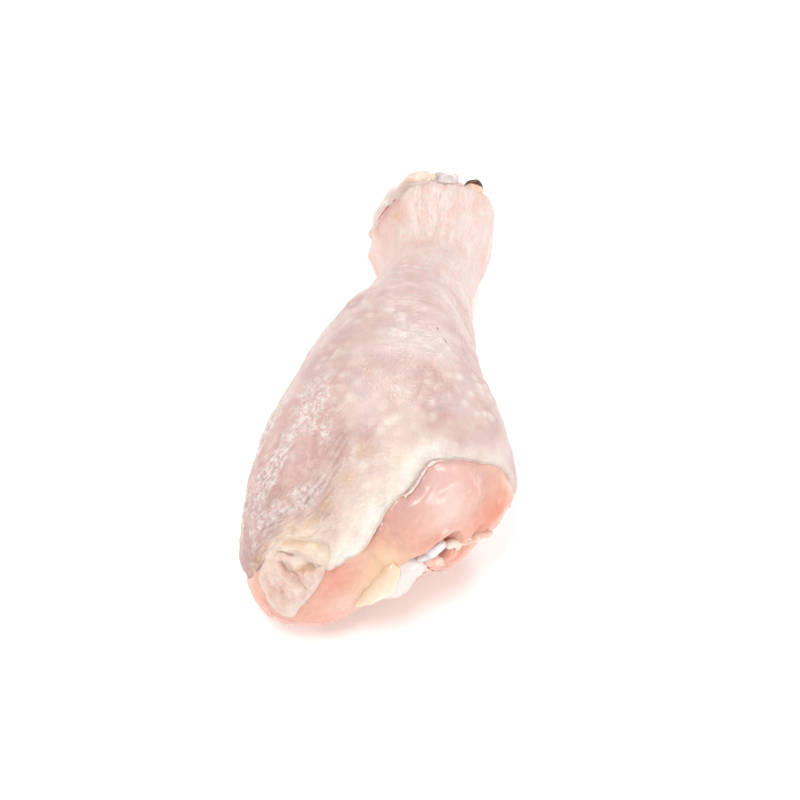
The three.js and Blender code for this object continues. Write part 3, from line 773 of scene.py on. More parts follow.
sleeveShell, sleeveMasks = skinSleeve()
skinFinish = rawSkin()
skinPiece = makePiece("skinSleeve", [sleeveShell], skinFinish, sleeveMasks)
applyNodes(skinPiece, pimpleTree(), {
    "Spacing": skin["pimpleSpacing"] * mm, "Radius": skin["pimpleRadius"] * mm,
    "Height": skin["pimpleHeight"] * mm, "Seed": skin["pimpleSeed"], "Material": skinFinish})
declarePiece(skinPiece, "skin")
grainFinish = wetFatGrains()
grainPiece = makePiece("wetGrains", [sleeveShell], grainFinish, {"grain": sleeveMasks["grain"]})
applyNodes(grainPiece, grainTree(), {
    "Spacing": skin["grainSpacing"] * mm, "Size": skin["grainSize"] * mm, "Seed": skin["grainSeed"],
    "Material": grainFinish})
declarePiece(grainPiece)

# ---- meat ----
meat = {
    "columns": 260, "bareRings": 120, "coveredRings": 14, "endArc": 117.0,
    "depth": 1.7,  # the core lies this far inside the leg's surface
    "bulge": 1.8,  # bare muscle may swell this far past it
    "joint": 1.6,  # width over which two muscles run together
    # each muscle end: middle, the way it runs, and its half lengths along, level and third
    "muscles": {
        "calfHead": ((-14.0, -43.5, 15.8), (0.1, 1, 0.1), (12.0, 13.9, 14.8)),
        "calfSide": ((-17.6, -46.0, 15.0), (0, 1, 0), (10.9, 10.4, 12.6)),
        "shinHead": ((5.0, -36.4, 26.4), (0.45, -0.8, 0.1), (15.0, 12.6, 12.8)),
        "shinSide": ((13.6, -31.0, 20.6), (0.55, -0.8, 0.0), (12.2, 9.6, 10.4)),
        "deepHead": ((9.8, -36.2, 16.0), (-0.3, 1, 0.1), (10.0, 8.2, 7.8)),
    },
    # seams and ridges between them: the line, how far it stands up, and half its width
    "seams": [
        ([(22.5, -33.0, 15.5), (19.6, -36.7, 15.4), (17.1, -41.0, 18.2), (14.5, -43.6, 20.6),
          (11.9, -45.8, 22.2)], -1.9, 1.5),
        ([(16.6, -37.0, 32.7), (17.6, -38.0, 29.1), (16.5, -39.9, 27.3), (14.7, -42.2, 26.3),
          (12.9, -44.2, 25.1)], -0.3, 2.2),
        ([(19.5, -36.8, 26.2), (18.5, -38.6, 24.8), (17.1, -40.5, 23.6), (15.6, -42.2, 22.9)], -0.7, 1.0),
        ([(8.0, -46.8, 28.0), (9.9, -45.2, 28.7), (13.1, -42.1, 29.8), (16.5, -39.4, 28.6)], -0.35, 1.2),
        ([(23.2, -31.5, 17.2), (21.4, -35.0, 17.7), (19.1, -38.7, 18.8)], 0.6, 1.2),
        ([(-1.8, -51.3, 31.0), (-3.4, -53.0, 27.5), (-2.6, -53.7, 24.9), (-1.4, -53.6, 22.8)], -0.8, 1.1),
    ],
    # planes that trim the bare muscle ends on the lean side: a point on each and the way it faces
    "trims": [
        ((23.0, -35.5, 20.5), (0.85, -0.41, -0.33)), ((18.8, -40.6, 20.3), (0.755, -0.51, -0.415)),
        ((15.8, -41.7, 15.2), (0.77, -0.5, -0.4)), ((12.2, -45.9, 16.0), (0.38, -0.72, -0.58)),
    ],
    # where the muscle is tinted: (strength, place, radius)
    "tints": {
        "film": [(0.9, (10, -39.5, 36), 5.5), (0.7, (4, -44.5, 34), 5.5)],
        "fatty": [(0.9, (0.2, -52.3, 23.4), 4.6), (0.75, (-4, -54.5, 18), 3.5)],
        # orange is salmon muscle; the spots low on the calf end's left are a painted shade, darkening the
        # side that faces down
        "orange": [
            (0.75, (20.3, -37.8, 25.6), 2.8), (0.95, (17.4, -41.0, 25.2), 2.8), (0.5, (-22.5, -52.5, 12), 5),
            (0.9, (14, -43.5, 16), 5.5), (0.6, (-8.6, -56.2, 22.5), 4.5), (0.5, (-2.8, -50.8, 31.1), 2.5),
            (0.3, (8, -47, 28), 5.5), (0.4, (-12, -55, 9), 7), (0.4, (20, -38.5, 22), 3.5),
        ],
        # pale: the two spots on the shin muscle are a whitish film painted where its broad highlight falls, a
        # painted highlight; the others are pale tissue
        "pale": [
            (0.95, (11.2, -42.8, 31.4), 4.2), (0.55, (8.0, -44.8, 30.4), 3.0),
            (0.2, (18.8, -36.6, 28.9), 2.6), (0.5, (-8, -55, 15), 3.5),
        ],
        "deep": [(0.6, (9, -47, 19), 3.0)],
    },
}
kneeJoint = {
    "centre": (2.2, -50.2, 13.0), "wide": 9.4, "tall": 7.2, "thick": 5.6,
    "facing": (0.5, -0.68, -0.53), "wideAxis": (0.816, 0.171, 0.552), "clearance": 1.8,
    "ligamentBay": ((8.8, -49.4, 22.2), (0.7, 0.45, 0.45), (8.0, 3.6, 3.4)),
}
jointFacing = unit(np.array(kneeJoint["facing"]))
jointWide = unit(np.array(kneeJoint["wideAxis"]))
jointTall = unit(np.cross(jointFacing, jointWide))


def jointHollow(points):  # the space in front of the joint's face
    local = points - np.array(kneeJoint["centre"])
    reach = np.hypot(local @ jointWide / (kneeJoint["wide"] + kneeJoint["clearance"]),
                     local @ jointTall / (kneeJoint["tall"] + kneeJoint["clearance"]))
    ahead = local @ jointFacing
    front = smoothMax((reach - 1) * (kneeJoint["tall"] + kneeJoint["clearance"]), -0.6 - ahead, 1.5)
    return smoothMin(front, ellipsoidDistance(points, *kneeJoint["ligamentBay"]), 1.2)


def meatSurface():
    angle = (np.arange(meat["columns"]) * 2 * math.pi / meat["columns"])[None, :]
    knee = kneeEdgeArc(angle)
    bare = (knee + 3.0) * np.linspace(0, 1, meat["bareRings"])[1:, None]
    covered = knee + 3.0 + (meat["endArc"] - knee - 3.0) * np.linspace(0, 1, meat["coveredRings"])[1:, None]
    arc = np.concatenate([bare, covered])
    angle = np.broadcast_to(angle, arc.shape)
    surface = legPoint(arc, angle)
    originY = np.where(arc < leg["noseArc"], leg["kneeY"] + leg["noseLength"], arc - arcAtY(0))
    middleX, middleZ = legMiddle(originY)
    origin = np.stack([middleX - 1.0, originY, middleZ], axis=-1)
    reach = np.linalg.norm(surface - origin, axis=-1)
    direction = (surface - origin) / reach[..., None]
    outward = np.maximum((outwardAt(arc, angle) * direction).sum(axis=-1), 0.35)
    mask = skinMasks(arc, angle)
    away = mask["away"]
    covering = smooth(away, -3.2, 0.2)
    # the meat keeps clear below the skin and lies snug at the cut
    underSkin = skinThick(mask) + 0.12 - (0.4 + 0.3 * mask["fatty"]) * np.exp(-((away / 1.2) ** 2))
    limit = meat["bulge"] - (meat["bulge"] + underSkin) * covering - 0.7 * smooth(away, 2, 7)
    depth = meat["depth"] + (underSkin - meat["depth"]) * covering

    def distance(points, step):
        along = (step - reach) * outward
        form = along + depth
        for muscle in meat["muscles"].values():
            form = smoothMin(form, ellipsoidDistance(points, *muscle), meat["joint"])
        form = smoothMax(form, -jointHollow(points), 1.2)
        for place, facing in meat["trims"]:
            spared = 12 * smooth(away, -2, 0.3) + 20 * smooth(-points[..., 0], -7, -1)
            form = smoothMax(form, (points - place) @ unit(np.array(facing)) - spared, 1.6)
        return smoothMax(form, along - limit, 0.8)

    points = castShape(origin, direction, distance, near=4.0, far=46.0, samples=150)
    for line, height, width in meat["seams"]:
        nearest = np.full(arc.shape, 1e9)
        for knot in zip(*finerLine(line, 30)):
            apart = points - np.array(knot)
            apart = apart - (apart * direction).sum(axis=-1)[..., None] * direction
            nearest = np.minimum(nearest, np.linalg.norm(apart, axis=-1))
        rise = height * np.exp(-((nearest / width) ** 2)) * (1 - smooth(away, -1.5, 0))
        points = points + direction * rise[..., None]
    fibre = points * [1.0, 0.25, 1.0]
    relief = 0.12 * softNoise(points, 9, 31) + 0.05 * softNoise(fibre, 2.2, 32, 24)
    points = points + direction * (relief * (1 - smooth(away, -1, 1)))[..., None]
    points[..., 2] = np.maximum(points[..., 2], 0.05 + 1.2 * smooth(away, -1, 2))
    return shellFrom(points)


# raw muscle under a thin wet film: translucent peach to salmon, fibres show faintly
def rawMuscle():
    material, tree, shader, place = startMaterial("rawChickenMuscle", **{
        **wetFlesh, "Subsurface Weight": 0.35, "Coat Weight": 0.65, "Coat Roughness": 0.25})
    mask = masksOf(tree, *meat["tints"])
    fibre = noiseAt(tree, stretched(tree, place, (1.0, 0.3, 1.0), (0.2, 0.0, 0.35)), 2.2, 5, 0.6)
    cloud = noiseAt(tree, place, 11, 2)
    base = layered(tree, twoTone(tree, fibre, 0.35, 0.65, "#d99d8c", "#eab8a6"), (
        (spread(tree, cloud, 0.42, 0.62, 0.0, 0.6), "#edbca4"), (mask["film"], "#e6bfb9"),
        # the orange mix is partly painted shade and the pale mix partly a painted highlight
        (mask["fatty"], "#f2d2ac"), (mask["orange"], "#e5947a"), (mask["pale"], "#f0d3c8"),
        (mask["deep"], "#c9705c")))
    tree.links.new(base, shader.inputs["Base Color"])
    addRelief(tree, shader, calculate(tree, "ADD", fibre, noiseAt(tree, place, 0.9, 4)), 0.00018, 0.7)
    tree.links.new(spread(tree, cloud, 0.35, 0.65, 0.22, 0.42), shader.inputs["Roughness"])
    return material


meatShell = meatSurface()
meatMasks = {name: np.clip(spotsAt(meatShell[0], spots), 0, 1) for name, spots in meat["tints"].items()}
declarePiece(makePiece("meatMuscles", [meatShell], rawMuscle(), meatMasks), "meat")

# ---- the crumpled flap of loose skin over the knee end ----
flap = {
    "centre": (-17.8, -56.0, 19.5), "facing": (-0.22, -0.82, 0.5),  # the plane that its places are given in
    "hub": (0.4, 4.2), "columns": 170, "rings": 84, "thickness": 1.25,
    "outline": [
        (-6.8, 3.0), (-7.1, 1.3), (-6.1, -0.2), (-5.5, -2.2), (-4.7, -4.0), (-3.4, -5.7), (-1.7, -6.4),
        (-0.3, -5.8), (1.0, -3.9), (3.2, -1.2), (4.9, 1.4), (5.9, 3.3), (6.9, 5.9), (8.0, 8.2),
        (8.2, 10.2), (7.0, 12.4), (4.6, 13.7), (1.6, 13.3), (-1.4, 11.7), (-3.6, 9.3), (-5.3, 6.2),
    ],
    # ridges and hollows: the line as (right, up, how far it stands up there), and half its width
    "folds": [
        ([(-4.4, 5.8, 0.3), (-2.6, 8.0, 0.7), (-0.3, 9.8, 0.9), (2.4, 10.7, 1.2), (4.6, 10.7, 1.3),
          (6.6, 9.8, 1.2), (8.0, 8.2, 0.8)], 1.2),
        ([(-1.6, 10.6, -0.2), (1.4, 12.1, -0.8), (4.4, 12.3, -0.8), (6.8, 11.5, -0.4)], 0.6),
        ([(-3.9, 6.6, -0.5), (-2.3, 8.0, -0.7), (-0.8, 8.9, -1.1), (0.2, 8.7, -1.1), (1.2, 8.2, -0.5)], 0.5),
        ([(-6.0, 2.4, 0.5), (-4.7, 4.3, 0.9), (-3.3, 6.0, 1.0), (-1.8, 7.3, 1.0), (-0.2, 7.5, 0.9),
          (1.2, 7.0, 0.5)], 0.8),
        ([(-1.9, 6.5, -0.6), (-0.8, 5.4, -1.1), (0.0, 4.4, -1.1), (1.2, 3.4, -0.8), (2.3, 2.3, -0.6),
          (3.7, 1.0, -0.3)], 0.5),
        ([(-2.5, 5.4, 0.5), (-1.3, 4.1, 0.9), (-0.1, 2.7, 0.9), (1.0, 1.2, 0.6), (1.6, 0.0, 0.2)], 0.7),
        ([(-2.2, 2.1, -0.2), (-1.7, 0.6, -0.5), (-1.5, -1.2, -0.5), (-1.4, -2.8, -0.2)], 1.0),
        ([(1.6, 4.9, -0.6), (3.0, 5.6, -1.1), (4.5, 6.4, -1.3), (5.8, 6.9, -1.1), (6.9, 7.4, -0.6)], 0.65),
        ([(3.0, 4.5, 0.1), (3.5, 3.0, 0.25), (3.8, 1.5, 0.2)], 0.5),
        ([(4.0, 5.0, -0.1), (4.2, 3.3, -0.25), (4.3, 1.8, -0.15)], 0.4),
        ([(5.2, 5.3, 0.3), (5.2, 3.7, 0.4), (4.7, 2.2, 0.3)], 0.5),
        ([(6.6, 5.8, 0.5), (5.6, 3.4, 0.6), (4.5, 1.4, 0.5), (2.9, -1.0, 0.5), (1.0, -3.2, 0.4),
          (-0.8, -4.9, 0.3)], 0.6),
        ([(-6.3, 2.8, 0.5), (-6.0, 1.3, 0.8), (-5.2, 0.1, 0.5)], 0.8),
        ([(-4.9, 3.0, -0.3), (-4.3, 1.2, -0.5), (-4.0, -0.8, -0.4), (-3.5, -2.8, -0.2)], 0.7),
    ],
    "yellowEdge": [(-0.6, 10.9), (1.6, 11.7), (4.4, 11.9), (6.4, 11.2)],
}


def surfaceTree(points, faces):
    return BVHTree.FromPolygons([Vector(p) for p in points], faces)


def restingHeight(trees, centre, axes, size, pitch):  # how high the surfaces stand over the flap's plane
    count = int(2 * size / pitch)
    places = np.linspace(-size, size, count)
    heights = np.zeros((count, count))
    for i, a in enumerate(places):
        for j, b in enumerate(places):
            start = Vector(centre + a * axes[0] + b * axes[1] + 40 * axes[2])
            hits = [tree.ray_cast(start, Vector(-axes[2]))[3] for tree in trees]
            reached = [h for h in hits if h is not None]
            heights[i, j] = 40 - min(reached) if reached else -12.0
    for _ in range(3):
        padded = np.pad(heights, 1, mode="edge")
        heights = sum(padded[u : u + count, v : v + count] for u in range(3) for v in range(3)) / 9

    def at(a, b):
        u = np.clip((a + size) / (2 * size) * (count - 1), 0, count - 1.001)
        v = np.clip((b + size) / (2 * size) * (count - 1), 0, count - 1.001)
        i, j = u.astype(int), v.astype(int)
        p, q = u - i, v - j
        return ((heights[i, j] * (1 - p) + heights[i + 1, j] * p) * (1 - q)
                + (heights[i, j + 1] * (1 - p) + heights[i + 1, j + 1] * p) * q)

    return at


def lineDistance(a, b, knots):
    nearest = np.full(a.shape, 1e9)
    for x, y in zip(*finerLine(knots, 60)):
        nearest = np.minimum(nearest, np.hypot(a - x, b - y))
    return nearest


def foldRelief(a, b, knots, width):
    nearest, rise = np.full(a.shape, 1e9), np.zeros(a.shape)
    for x, y, h in zip(*finerLine(knots, 80)):
        apart = np.hypot(a - x, b - y)
        rise = np.where(apart < nearest, h, rise)
        nearest = np.minimum(nearest, apart)
    return rise * np.exp(-((nearest / width) ** 1.5))


def skinFlapShell():
    facing = unit(np.array(flap["facing"]))
    right = unit(np.array((1.0, 0, 0)) - facing * facing[0])
    axes = np.stack([right, np.cross(facing, right), facing])
    centre = np.array(flap["centre"])
    outline = np.array(flap["outline"]) - flap["hub"]
    turn = np.arctan2(outline[:, 1], outline[:, 0]) % (2 * math.pi)
    order = np.argsort(turn)
    knots = list(zip(turn[order], np.hypot(*outline[order].T)))
    knots = [(knots[-1][0] - 2 * math.pi, knots[-1][1]), *knots, (knots[0][0] + 2 * math.pi, knots[0][1])]
    round_ = np.arange(flap["columns"]) * 2 * math.pi / flap["columns"]
    edge = curveThrough(knots)(round_) * (1 + 0.012 * np.sin(17 * round_ + 2 * np.sin(5 * round_)))
    share = (np.arange(1, flap["rings"] + 1) / flap["rings"])[:, None]
    share = 1 - (1 - share) ** 1.7
    a = flap["hub"][0] + share * edge * np.cos(round_)
    b = flap["hub"][1] + share * edge * np.sin(round_)
    under = [surfaceTree(*meatShell), surfaceTree(*sleeveShell)]
    base = restingHeight(under, centre, axes, size=17, pitch=0.5)(a, b)
    plane = np.stack([a, b], axis=-1)
    rounded = (1 - share**7) ** 0.5 + 0 * a
    root = smooth(b, 10.6, 13.4)  # the flap's root sinks into the sleeve
    wavy = plane + 0.15 * np.stack([softNoise(plane, 3.0, 73), softNoise(plane, 3.0, 74)], axis=-1)
    reliefs = [foldRelief(wavy[..., 0], wavy[..., 1], line, width) for line, width in flap["folds"]]
    folds = sum(reliefs)
    crumple = 0.13 * softNoise(plane, 3.0, 71) + 0.08 * softNoise(plane, 1.3, 72, 24)
    rise = flap["thickness"] * rounded + (folds + crumple) * rounded
    rise = smoothMax(rise, 0.3 * rounded, 0.3) * (1 - root) - 1.3 * root - 0.25 * (1 - rounded)
    top = centre + a[..., None] * axes[0] + b[..., None] * axes[1] + (base + rise)[..., None] * axes[2]
    low = [top[-1] - axes[2] * 0.7]
    for k in (0.85, 0.5, 0.1):
        at = int(k * (flap["rings"] - 1))
        low.append(top[at] - axes[2] * (rise[at][:, None] + 1.1))
    rings = np.concatenate([top, np.array(low)])
    yellowEdge = np.exp(-((lineDistance(wavy[..., 0], wavy[..., 1], flap["yellowEdge"]) / 0.32) ** 2))
    tints = {
        # hollow darkens the flap's hollows and pockets, a painted shade; the yellow in the pocket under the
        # crest is partly yellow fat and partly painted shade
        "crest": reliefs[0], "hollow": -folds / 1.3, "rosy": -1.2 * reliefs[6],
        "yellow": yellowEdge + 0.6 * np.clip(-reliefs[7] / 1.4, 0, 1),
    }
    masks = {}
    for key, values in tints.items():
        values = np.clip(values, 0, 1)
        whole = np.zeros(rings.shape[:2])
        whole[: len(values)] = values
        masks[key] = np.append(whole.reshape(-1), (values[0].mean(), 0))
    return shellFrom(rings), masks


# the loose flap: the same skin seen from its fatty side, creamier and slack
def looseSkin():
    material, tree, shader, place = startMaterial("looseFattySkin", **{
        **wetFlesh, "Subsurface Weight": 0.35, "Coat Weight": 0.4, "Roughness": 0.4})
    mask = masksOf(tree, "crest", "rosy", "hollow", "yellow")
    base = twoTone(tree, noiseAt(tree, place, 4, 4, 0.6), 0.36, 0.64, "#dfc0b2", "#eedbcf")
    for name, strength, colour in (("crest", 0.6, "#f2e2cc"), ("rosy", 0.45, "#e6b2a2"),
                                   # the hollow colour is painted shade in the folds
                                   ("hollow", 0.55, "#d3a083"), ("yellow", 0.5, "#e8c588")):
        base = mixColour(tree, calculate(tree, "MULTIPLY", mask[name], strength), base, srgb(colour))
    tree.links.new(base, shader.inputs["Base Color"])
    addRelief(tree, shader, noiseAt(tree, place, 1.1, 5, 0.6), 0.0003, 0.6, coated=True)
    return material


flapShell, flapMasks = skinFlapShell()
declarePiece(makePiece("skinFlap", [flapShell], looseSkin(), flapMasks), "skin")

# ---- bone: the knee joint's plateau, the shaft and the two knuckles at the hock ----
bone = {
    "x": 4.0, "z": 12.6, "columns": 48, "rings": 60,
    # y and the shaft's radius there
    "shaft": [(-43, 3.2), (-36, 4.4), (-27, 4.1), (-9, 3.4), (18, 3.2), (38, 4.0), (48.5, 6.3), (55.0, 7.0)],
    "knuckleY": 54.6, "grooveWidth": 1.8,
    # the two knuckles: how far to the side and up, then their radii along, across and up
    "knuckles": [(-5.6, 0.2, (7.0, 5.6, 8.2)), (5.3, -0.9, (6.6, 5.3, 7.4))],
    # dents in the knuckles, and darker purple spots in a dent, in the groove between the knuckles and at
    # their sides: (strength, place, radius)
    "dents": [(1.1, (-1.2, 61.0, 14.5), 2.6), (0.9, (9.6, 60.6, 9.0), 2.2)],
    "darkPurpleSpots": [
        (0.8, (-7.0, 56.0, 14.5), 3.0), (0.8, (14.6, 56.5, 13.5), 2.6), (0.8, (4.0, 58.5, 12.5), 3.4),
        (0.8, (4.0, 57.0, 17.5), 3.0), (0.8, (4.0, 58.0, 7.0), 2.6), (0.8, (-1.2, 61.0, 14.5), 1.6),
    ],
}


def kneePlateau():
    rings, columns = 40, 80
    polar = (np.arange(1, rings) * math.pi / rings)[:, None]
    turn = (np.arange(columns) * 2 * math.pi / columns)[None, :]
    depth = power(np.cos(polar), 0.55) * kneeJoint["thick"]
    reach = np.sin(polar) ** 0.7
    side = np.cos(turn) * reach * kneeJoint["wide"]
    rise = np.sin(turn) * reach * kneeJoint["tall"]
    # two shallow hollows with a ridge between them
    level = side / kneeJoint["wide"]
    dish = (0.7 * spot(level, 0.04, 0.2) - 0.8 * spot(np.abs(level), 0.5, 0.3)) * (1 - reach**5)
    dish = np.where(depth > 0, dish, 0)
    centre = np.array(kneeJoint["centre"]) - jointFacing * kneeJoint["thick"]
    points = (centre + jointFacing * (depth + dish)[..., None] + jointWide * side[..., None]
              + jointTall * rise[..., None])
    return shellFrom(points)


def hockKnuckles():
    centre = np.array([bone["x"], bone["knuckleY"] - 3, bone["z"] - 0.6])
    directions = ballDirections(rings=64, columns=110, axis=(1, 0, 0))

    def distance(points, step):
        form = None
        for side, rise, radii in bone["knuckles"]:
            middle = (bone["x"] + side, bone["knuckleY"], bone["z"] - 0.6 + rise)
            knuckle = ellipsoidDistance(points, middle, (0.06 * side, 1, 0.05), radii)
            form = knuckle if form is None else smoothMin(form, knuckle, bone["grooveWidth"])
        return form

    points = castShape(centre + 0 * directions, directions, distance, near=2.0, far=20.0, samples=120)
    relief = 0.22 * softNoise(points, 5, 42) + 0.06 * softNoise(points, 1.8, 43, 24)
    relief = relief - spotsAt(points, bone["dents"])
    return shellFrom(points + directions * relief[..., None])


def boneShaft():
    turn = np.arange(bone["columns"]) * 2 * math.pi / bone["columns"]
    y = np.linspace(bone["shaft"][0][0], bone["shaft"][-1][0], bone["rings"])
    radius = curveThrough(bone["shaft"])(y)[:, None]
    x, z = bone["x"] + radius * np.cos(turn), bone["z"] + radius * np.sin(turn)
    return shellFrom(np.stack([x, y[:, None] + 0 * turn, z], axis=-1))


# joint cartilage: smooth, wet and bluish white over the bone, darker purple in its pits and groove
def jointCartilage():
    material, tree, shader, place = startMaterial("jointCartilage", **{
        **wetFlesh, "Subsurface Weight": 0.25, "Subsurface Radius": (1.0, 0.8, 0.7), "Coat Weight": 0.45,
        "Coat Roughness": 0.22, "Roughness": 0.3})
    mask = masksOf(tree, "rosy", "darkPurple")
    cloud = noiseAt(tree, place, 7, 3)
    rosy = mixColour(tree, cloud, srgb("#c8969c"), srgb("#e2c0c6"))
    base = layered(tree, mixColour(tree, cloud, srgb("#e4dada"), srgb("#f2ebe8")), (
        (mask["rosy"], rosy), (mask["darkPurple"], "#7c4046")))
    tree.links.new(base, shader.inputs["Base Color"])
    addRelief(tree, shader, noiseAt(tree, place, 1.2, 3), 0.0001, 0.5)
    return material


boneShells = [kneePlateau(), boneShaft(), hockKnuckles()]
boneAt = np.vstack([points for points, _ in boneShells])
boneMasks = {
    "rosy": 0.9 * smooth(boneAt[:, 1], 20, 40), "darkPurple": np.minimum(spotsAt(boneAt, bone["darkPurpleSpots"]), 0.9),
}
declarePiece(makePiece("boneCartilage", boneShells, jointCartilage(), boneMasks), "bone")

# ---- small soft parts at the knee ----
def softLump(centre, direction, radii, seed, roughness=0.12, rings=28, columns=44):
    directions = ballDirections(rings, columns, direction)
    long = unit(np.array(direction, float))
    level = unit(np.cross((0, 0, 1), long))
    axes = np.stack([long, level, np.cross(long, level)])
    local = (directions @ axes.T) * np.array(radii, float)
    points = np.array(centre, float) + local @ axes
    size = 2.2 * max(radii) ** 0.5
    relief = roughness * np.mean(radii) * softNoise(points, size, seed)
    return shellFrom(points + directions * relief[..., None])


def pathTube(path, radii, seed, roughness=0.1, columns=20, count=40, flatten=1.0, up=(0, -0.5, 1)):
    x, y, z, radius = finerLine([(*point, size) for point, size in zip(path, radii)], count)
    line = np.stack([x, y, z], axis=-1)[:, None, :]
    along = unit(np.gradient(line, axis=0))
    side = unit(np.cross(along, up))
    third = np.cross(side, along)
    turn = (np.arange(columns) * 2 * math.pi / columns)[None, :, None]
    rings = line + radius[:, None, None] * (np.cos(turn) * side + flatten * np.sin(turn) * third)
    relief = roughness * radius[:, None] * softNoise(rings, 2.0, seed)
    return shellFrom(rings + unit(rings - line) * relief[..., None])


# soft wet tissue in one colour family: fat is creamy yellow, tendon pearly white, gristle translucent tan
def softTissue(name, dark, light, blobSize, coat, roughness, tint=None):
    material, tree, shader, place = startMaterial(name, **{
        **wetFlesh, "Subsurface Weight": 0.35, "Subsurface Radius": (1.0, 0.75, 0.62), "Coat Weight": coat,
        "Roughness": roughness})
    base = twoTone(tree, noiseAt(tree, place, blobSize, 4, 0.6), 0.36, 0.64, dark, light)
    if tint:
        mask = masksOf(tree, "tint", "pale")
        # the pale mix whitens a patch; on the gristle collar it is partly painted light
        base = layered(tree, base, ((mask["tint"], tint), (mask["pale"], "#f4efec")))
    tree.links.new(base, shader.inputs["Base Color"])
    addRelief(tree, shader, noiseAt(tree, place, 0.8, 4), 0.0002, 0.6)
    return material


def addSoft(name, shells, finish, node=None, masks=None):
    declarePiece(makePiece(name, shells, finish, masks), node)


fatFinish = softTissue("softChickenFat", "#ffe2c2", "#fff0e0", 5, 0.4, 0.38, tint="#f4c6a2")
tendonFinish = softTissue("wetTendon", "#f5ebe8", "#fdf8f7", 3, 0.45, 0.32)
tissueFinish = softTissue("tornTissue", "#e89a86", "#fad8c8", 2, 0.6, 0.28)
creamFinish = softTissue("creamyTissue", "#f0d2be", "#fbeadd", 3, 0.55, 0.3)
gristleFinish = softTissue("translucentGristle", "#ecccbb", "#fbeadf", 4, 0.6, 0.3, tint="#7a4a3c")

kneeSoft = {
    "fatPath": [
        (1.6, -51.0, 22.8), (0.9, -51.5, 21.8), (-1.2, -52.8, 19.0), (-3.5, -53.7, 16.3),
        (-5.9, -54.3, 14.0),
    ],
    "fatRadii": [1.1, 2.0, 2.7, 1.8, 0.4],
    "seamPath": [
        (13.2, -44.4, 21.8), (14.6, -43.6, 21.8), (16.0, -42.6, 21.5), (17.4, -41.7, 21.3),
        (18.8, -40.9, 20.9), (19.9, -40.2, 20.8),
    ],
    "seamRadii": [0.75, 0.85, 0.95, 0.95, 0.8, 0.3],
    # the thin skin curled back along the cut, as (distance, angle)
    "membrane": [
        (23.6, 74.5), (23.7, 72.0), (24.6, 69.8), (26.6, 68.0), (28.6, 66.6), (29.8, 63.5), (30.1, 60.0),
    ],
    "membraneRadii": [0.1, 0.18, 0.24, 0.2, 0.22, 0.16, 0.1],
    # each drop: distance, angle, size and how high it stands
    "drops": [
        (23.6, 72.2, 0.4, 0.35), (24.9, 70.0, 0.3, 0.1), (18.6, 79.6, 0.22, 0.2), (17.6, 79.6, 0.18, 0.1),
        (27.2, 67.4, 0.2, 0.2),
    ],
}
fatPad = pathTube(
    kneeSoft["fatPath"], kneeSoft["fatRadii"], seed=51, roughness=0.05, columns=36, count=60, flatten=0.38)
# the side of the pad that runs into the muscle is more orange
fatSide = (fatPad[0] - np.array((-1.2, -52.8, 19.0))) @ unit(np.array((0.75, -0.2, -0.63)))
addSoft("kneeFat", [fatPad], fatFinish, "knee_fat", {
    "tint": 0.8 * smooth(fatSide, 1.0, -2.2), "pale": 0 * fatSide})
addSoft("kneeLigament", [
    softLump((8.5, -47.6, 23.1), (0.75, 0.35, 0.55), (2.9, 1.1, 1.4), 52, 0.07),
    softLump((9.4, -46.9, 23.8), (0.65, 0.38, 0.65), (1.8, 0.9, 1.2), 53, 0.07),
    softLump((7.0, -48.5, 22.5), (0.85, 0.33, 0.35), (1.6, 0.8, 0.9), 58, 0.09),
], tendonFinish, "knee_ligament")
addSoft("kneeTissue", [
    softLump((8.4, -48.0, 20.5), (0.95, 0.25, -0.1), (2.3, 1.0, 0.9), 54, 0.2),
    softLump((9.9, -47.0, 19.4), (0.6, 0.2, -0.7), (1.4, 0.8, 0.9), 55, 0.2),
    softLump((6.8, -48.6, 19.2), (0.9, 0.3, 0.0), (1.1, 0.7, 0.5), 59, 0.25),
], tissueFinish)
addSoft("kneeKnob", [
    softLump((12.3, -44.9, 22.4), (0.95, 0.3, 0.05), (1.75, 1.0, 0.95), 60, 0.1),
    softLump((13.2, -44.6, 21.3), (0.2, 0.1, -1.0), (0.9, 0.7, 0.75), 61, 0.12),
], creamFinish)
addSoft("kneeSeam", [
    pathTube(kneeSoft["seamPath"], kneeSoft["seamRadii"], seed=68, columns=18, count=50, flatten=0.8),
], softTissue("kneeSeamTissue", "#ecb8a5", "#f7d6c8", 1.5, 0.7, 0.26))
addSoft("kneeBlood", [
    softLump((7.0, -48.9, 18.6), (0.9, 0.3, -0.2), (0.7, 0.4, 0.3), 62, 0.3),
    softLump((8.8, -48.3, 18.1), (0.9, 0.3, -0.1), (0.55, 0.4, 0.25), 63, 0.3),
    softLump((7.9, -48.6, 19.2), (0.5, 0.3, -0.7), (0.4, 0.3, 0.25), 64, 0.3),
], softTissue("driedBlood", "#a2544a", "#d08c7e", 1.0, 0.6, 0.3))


def onSkin(places, lift):  # points over the leg's surface from (distance, angle in degrees)
    arc, angle = np.array(places, float).T
    return insetPoint(arc, np.radians(angle), -lift)


membrane = pathTube(
    onSkin(kneeSoft["membrane"], 0.3), kneeSoft["membraneRadii"],
    seed=65, roughness=0.3, columns=18, count=70)
addSoft("curledMembrane", [membrane], softTissue("wetMembrane", "#e9cdc2", "#f6e6de", 1.5, 0.6, 0.25))
drops = [
    softLump(onSkin([(arc, angle)], lift)[0], (0.3, 0.4, 0.2), (size, size, 0.75 * size), 66, 0.03, 12, 18)
    for arc, angle, size, lift in kneeSoft["drops"]
]
addSoft("waterDrops", drops, softTissue("fatDroplets", "#f0c8ba", "#fae0d6", 1.0, 1.0, 0.12))
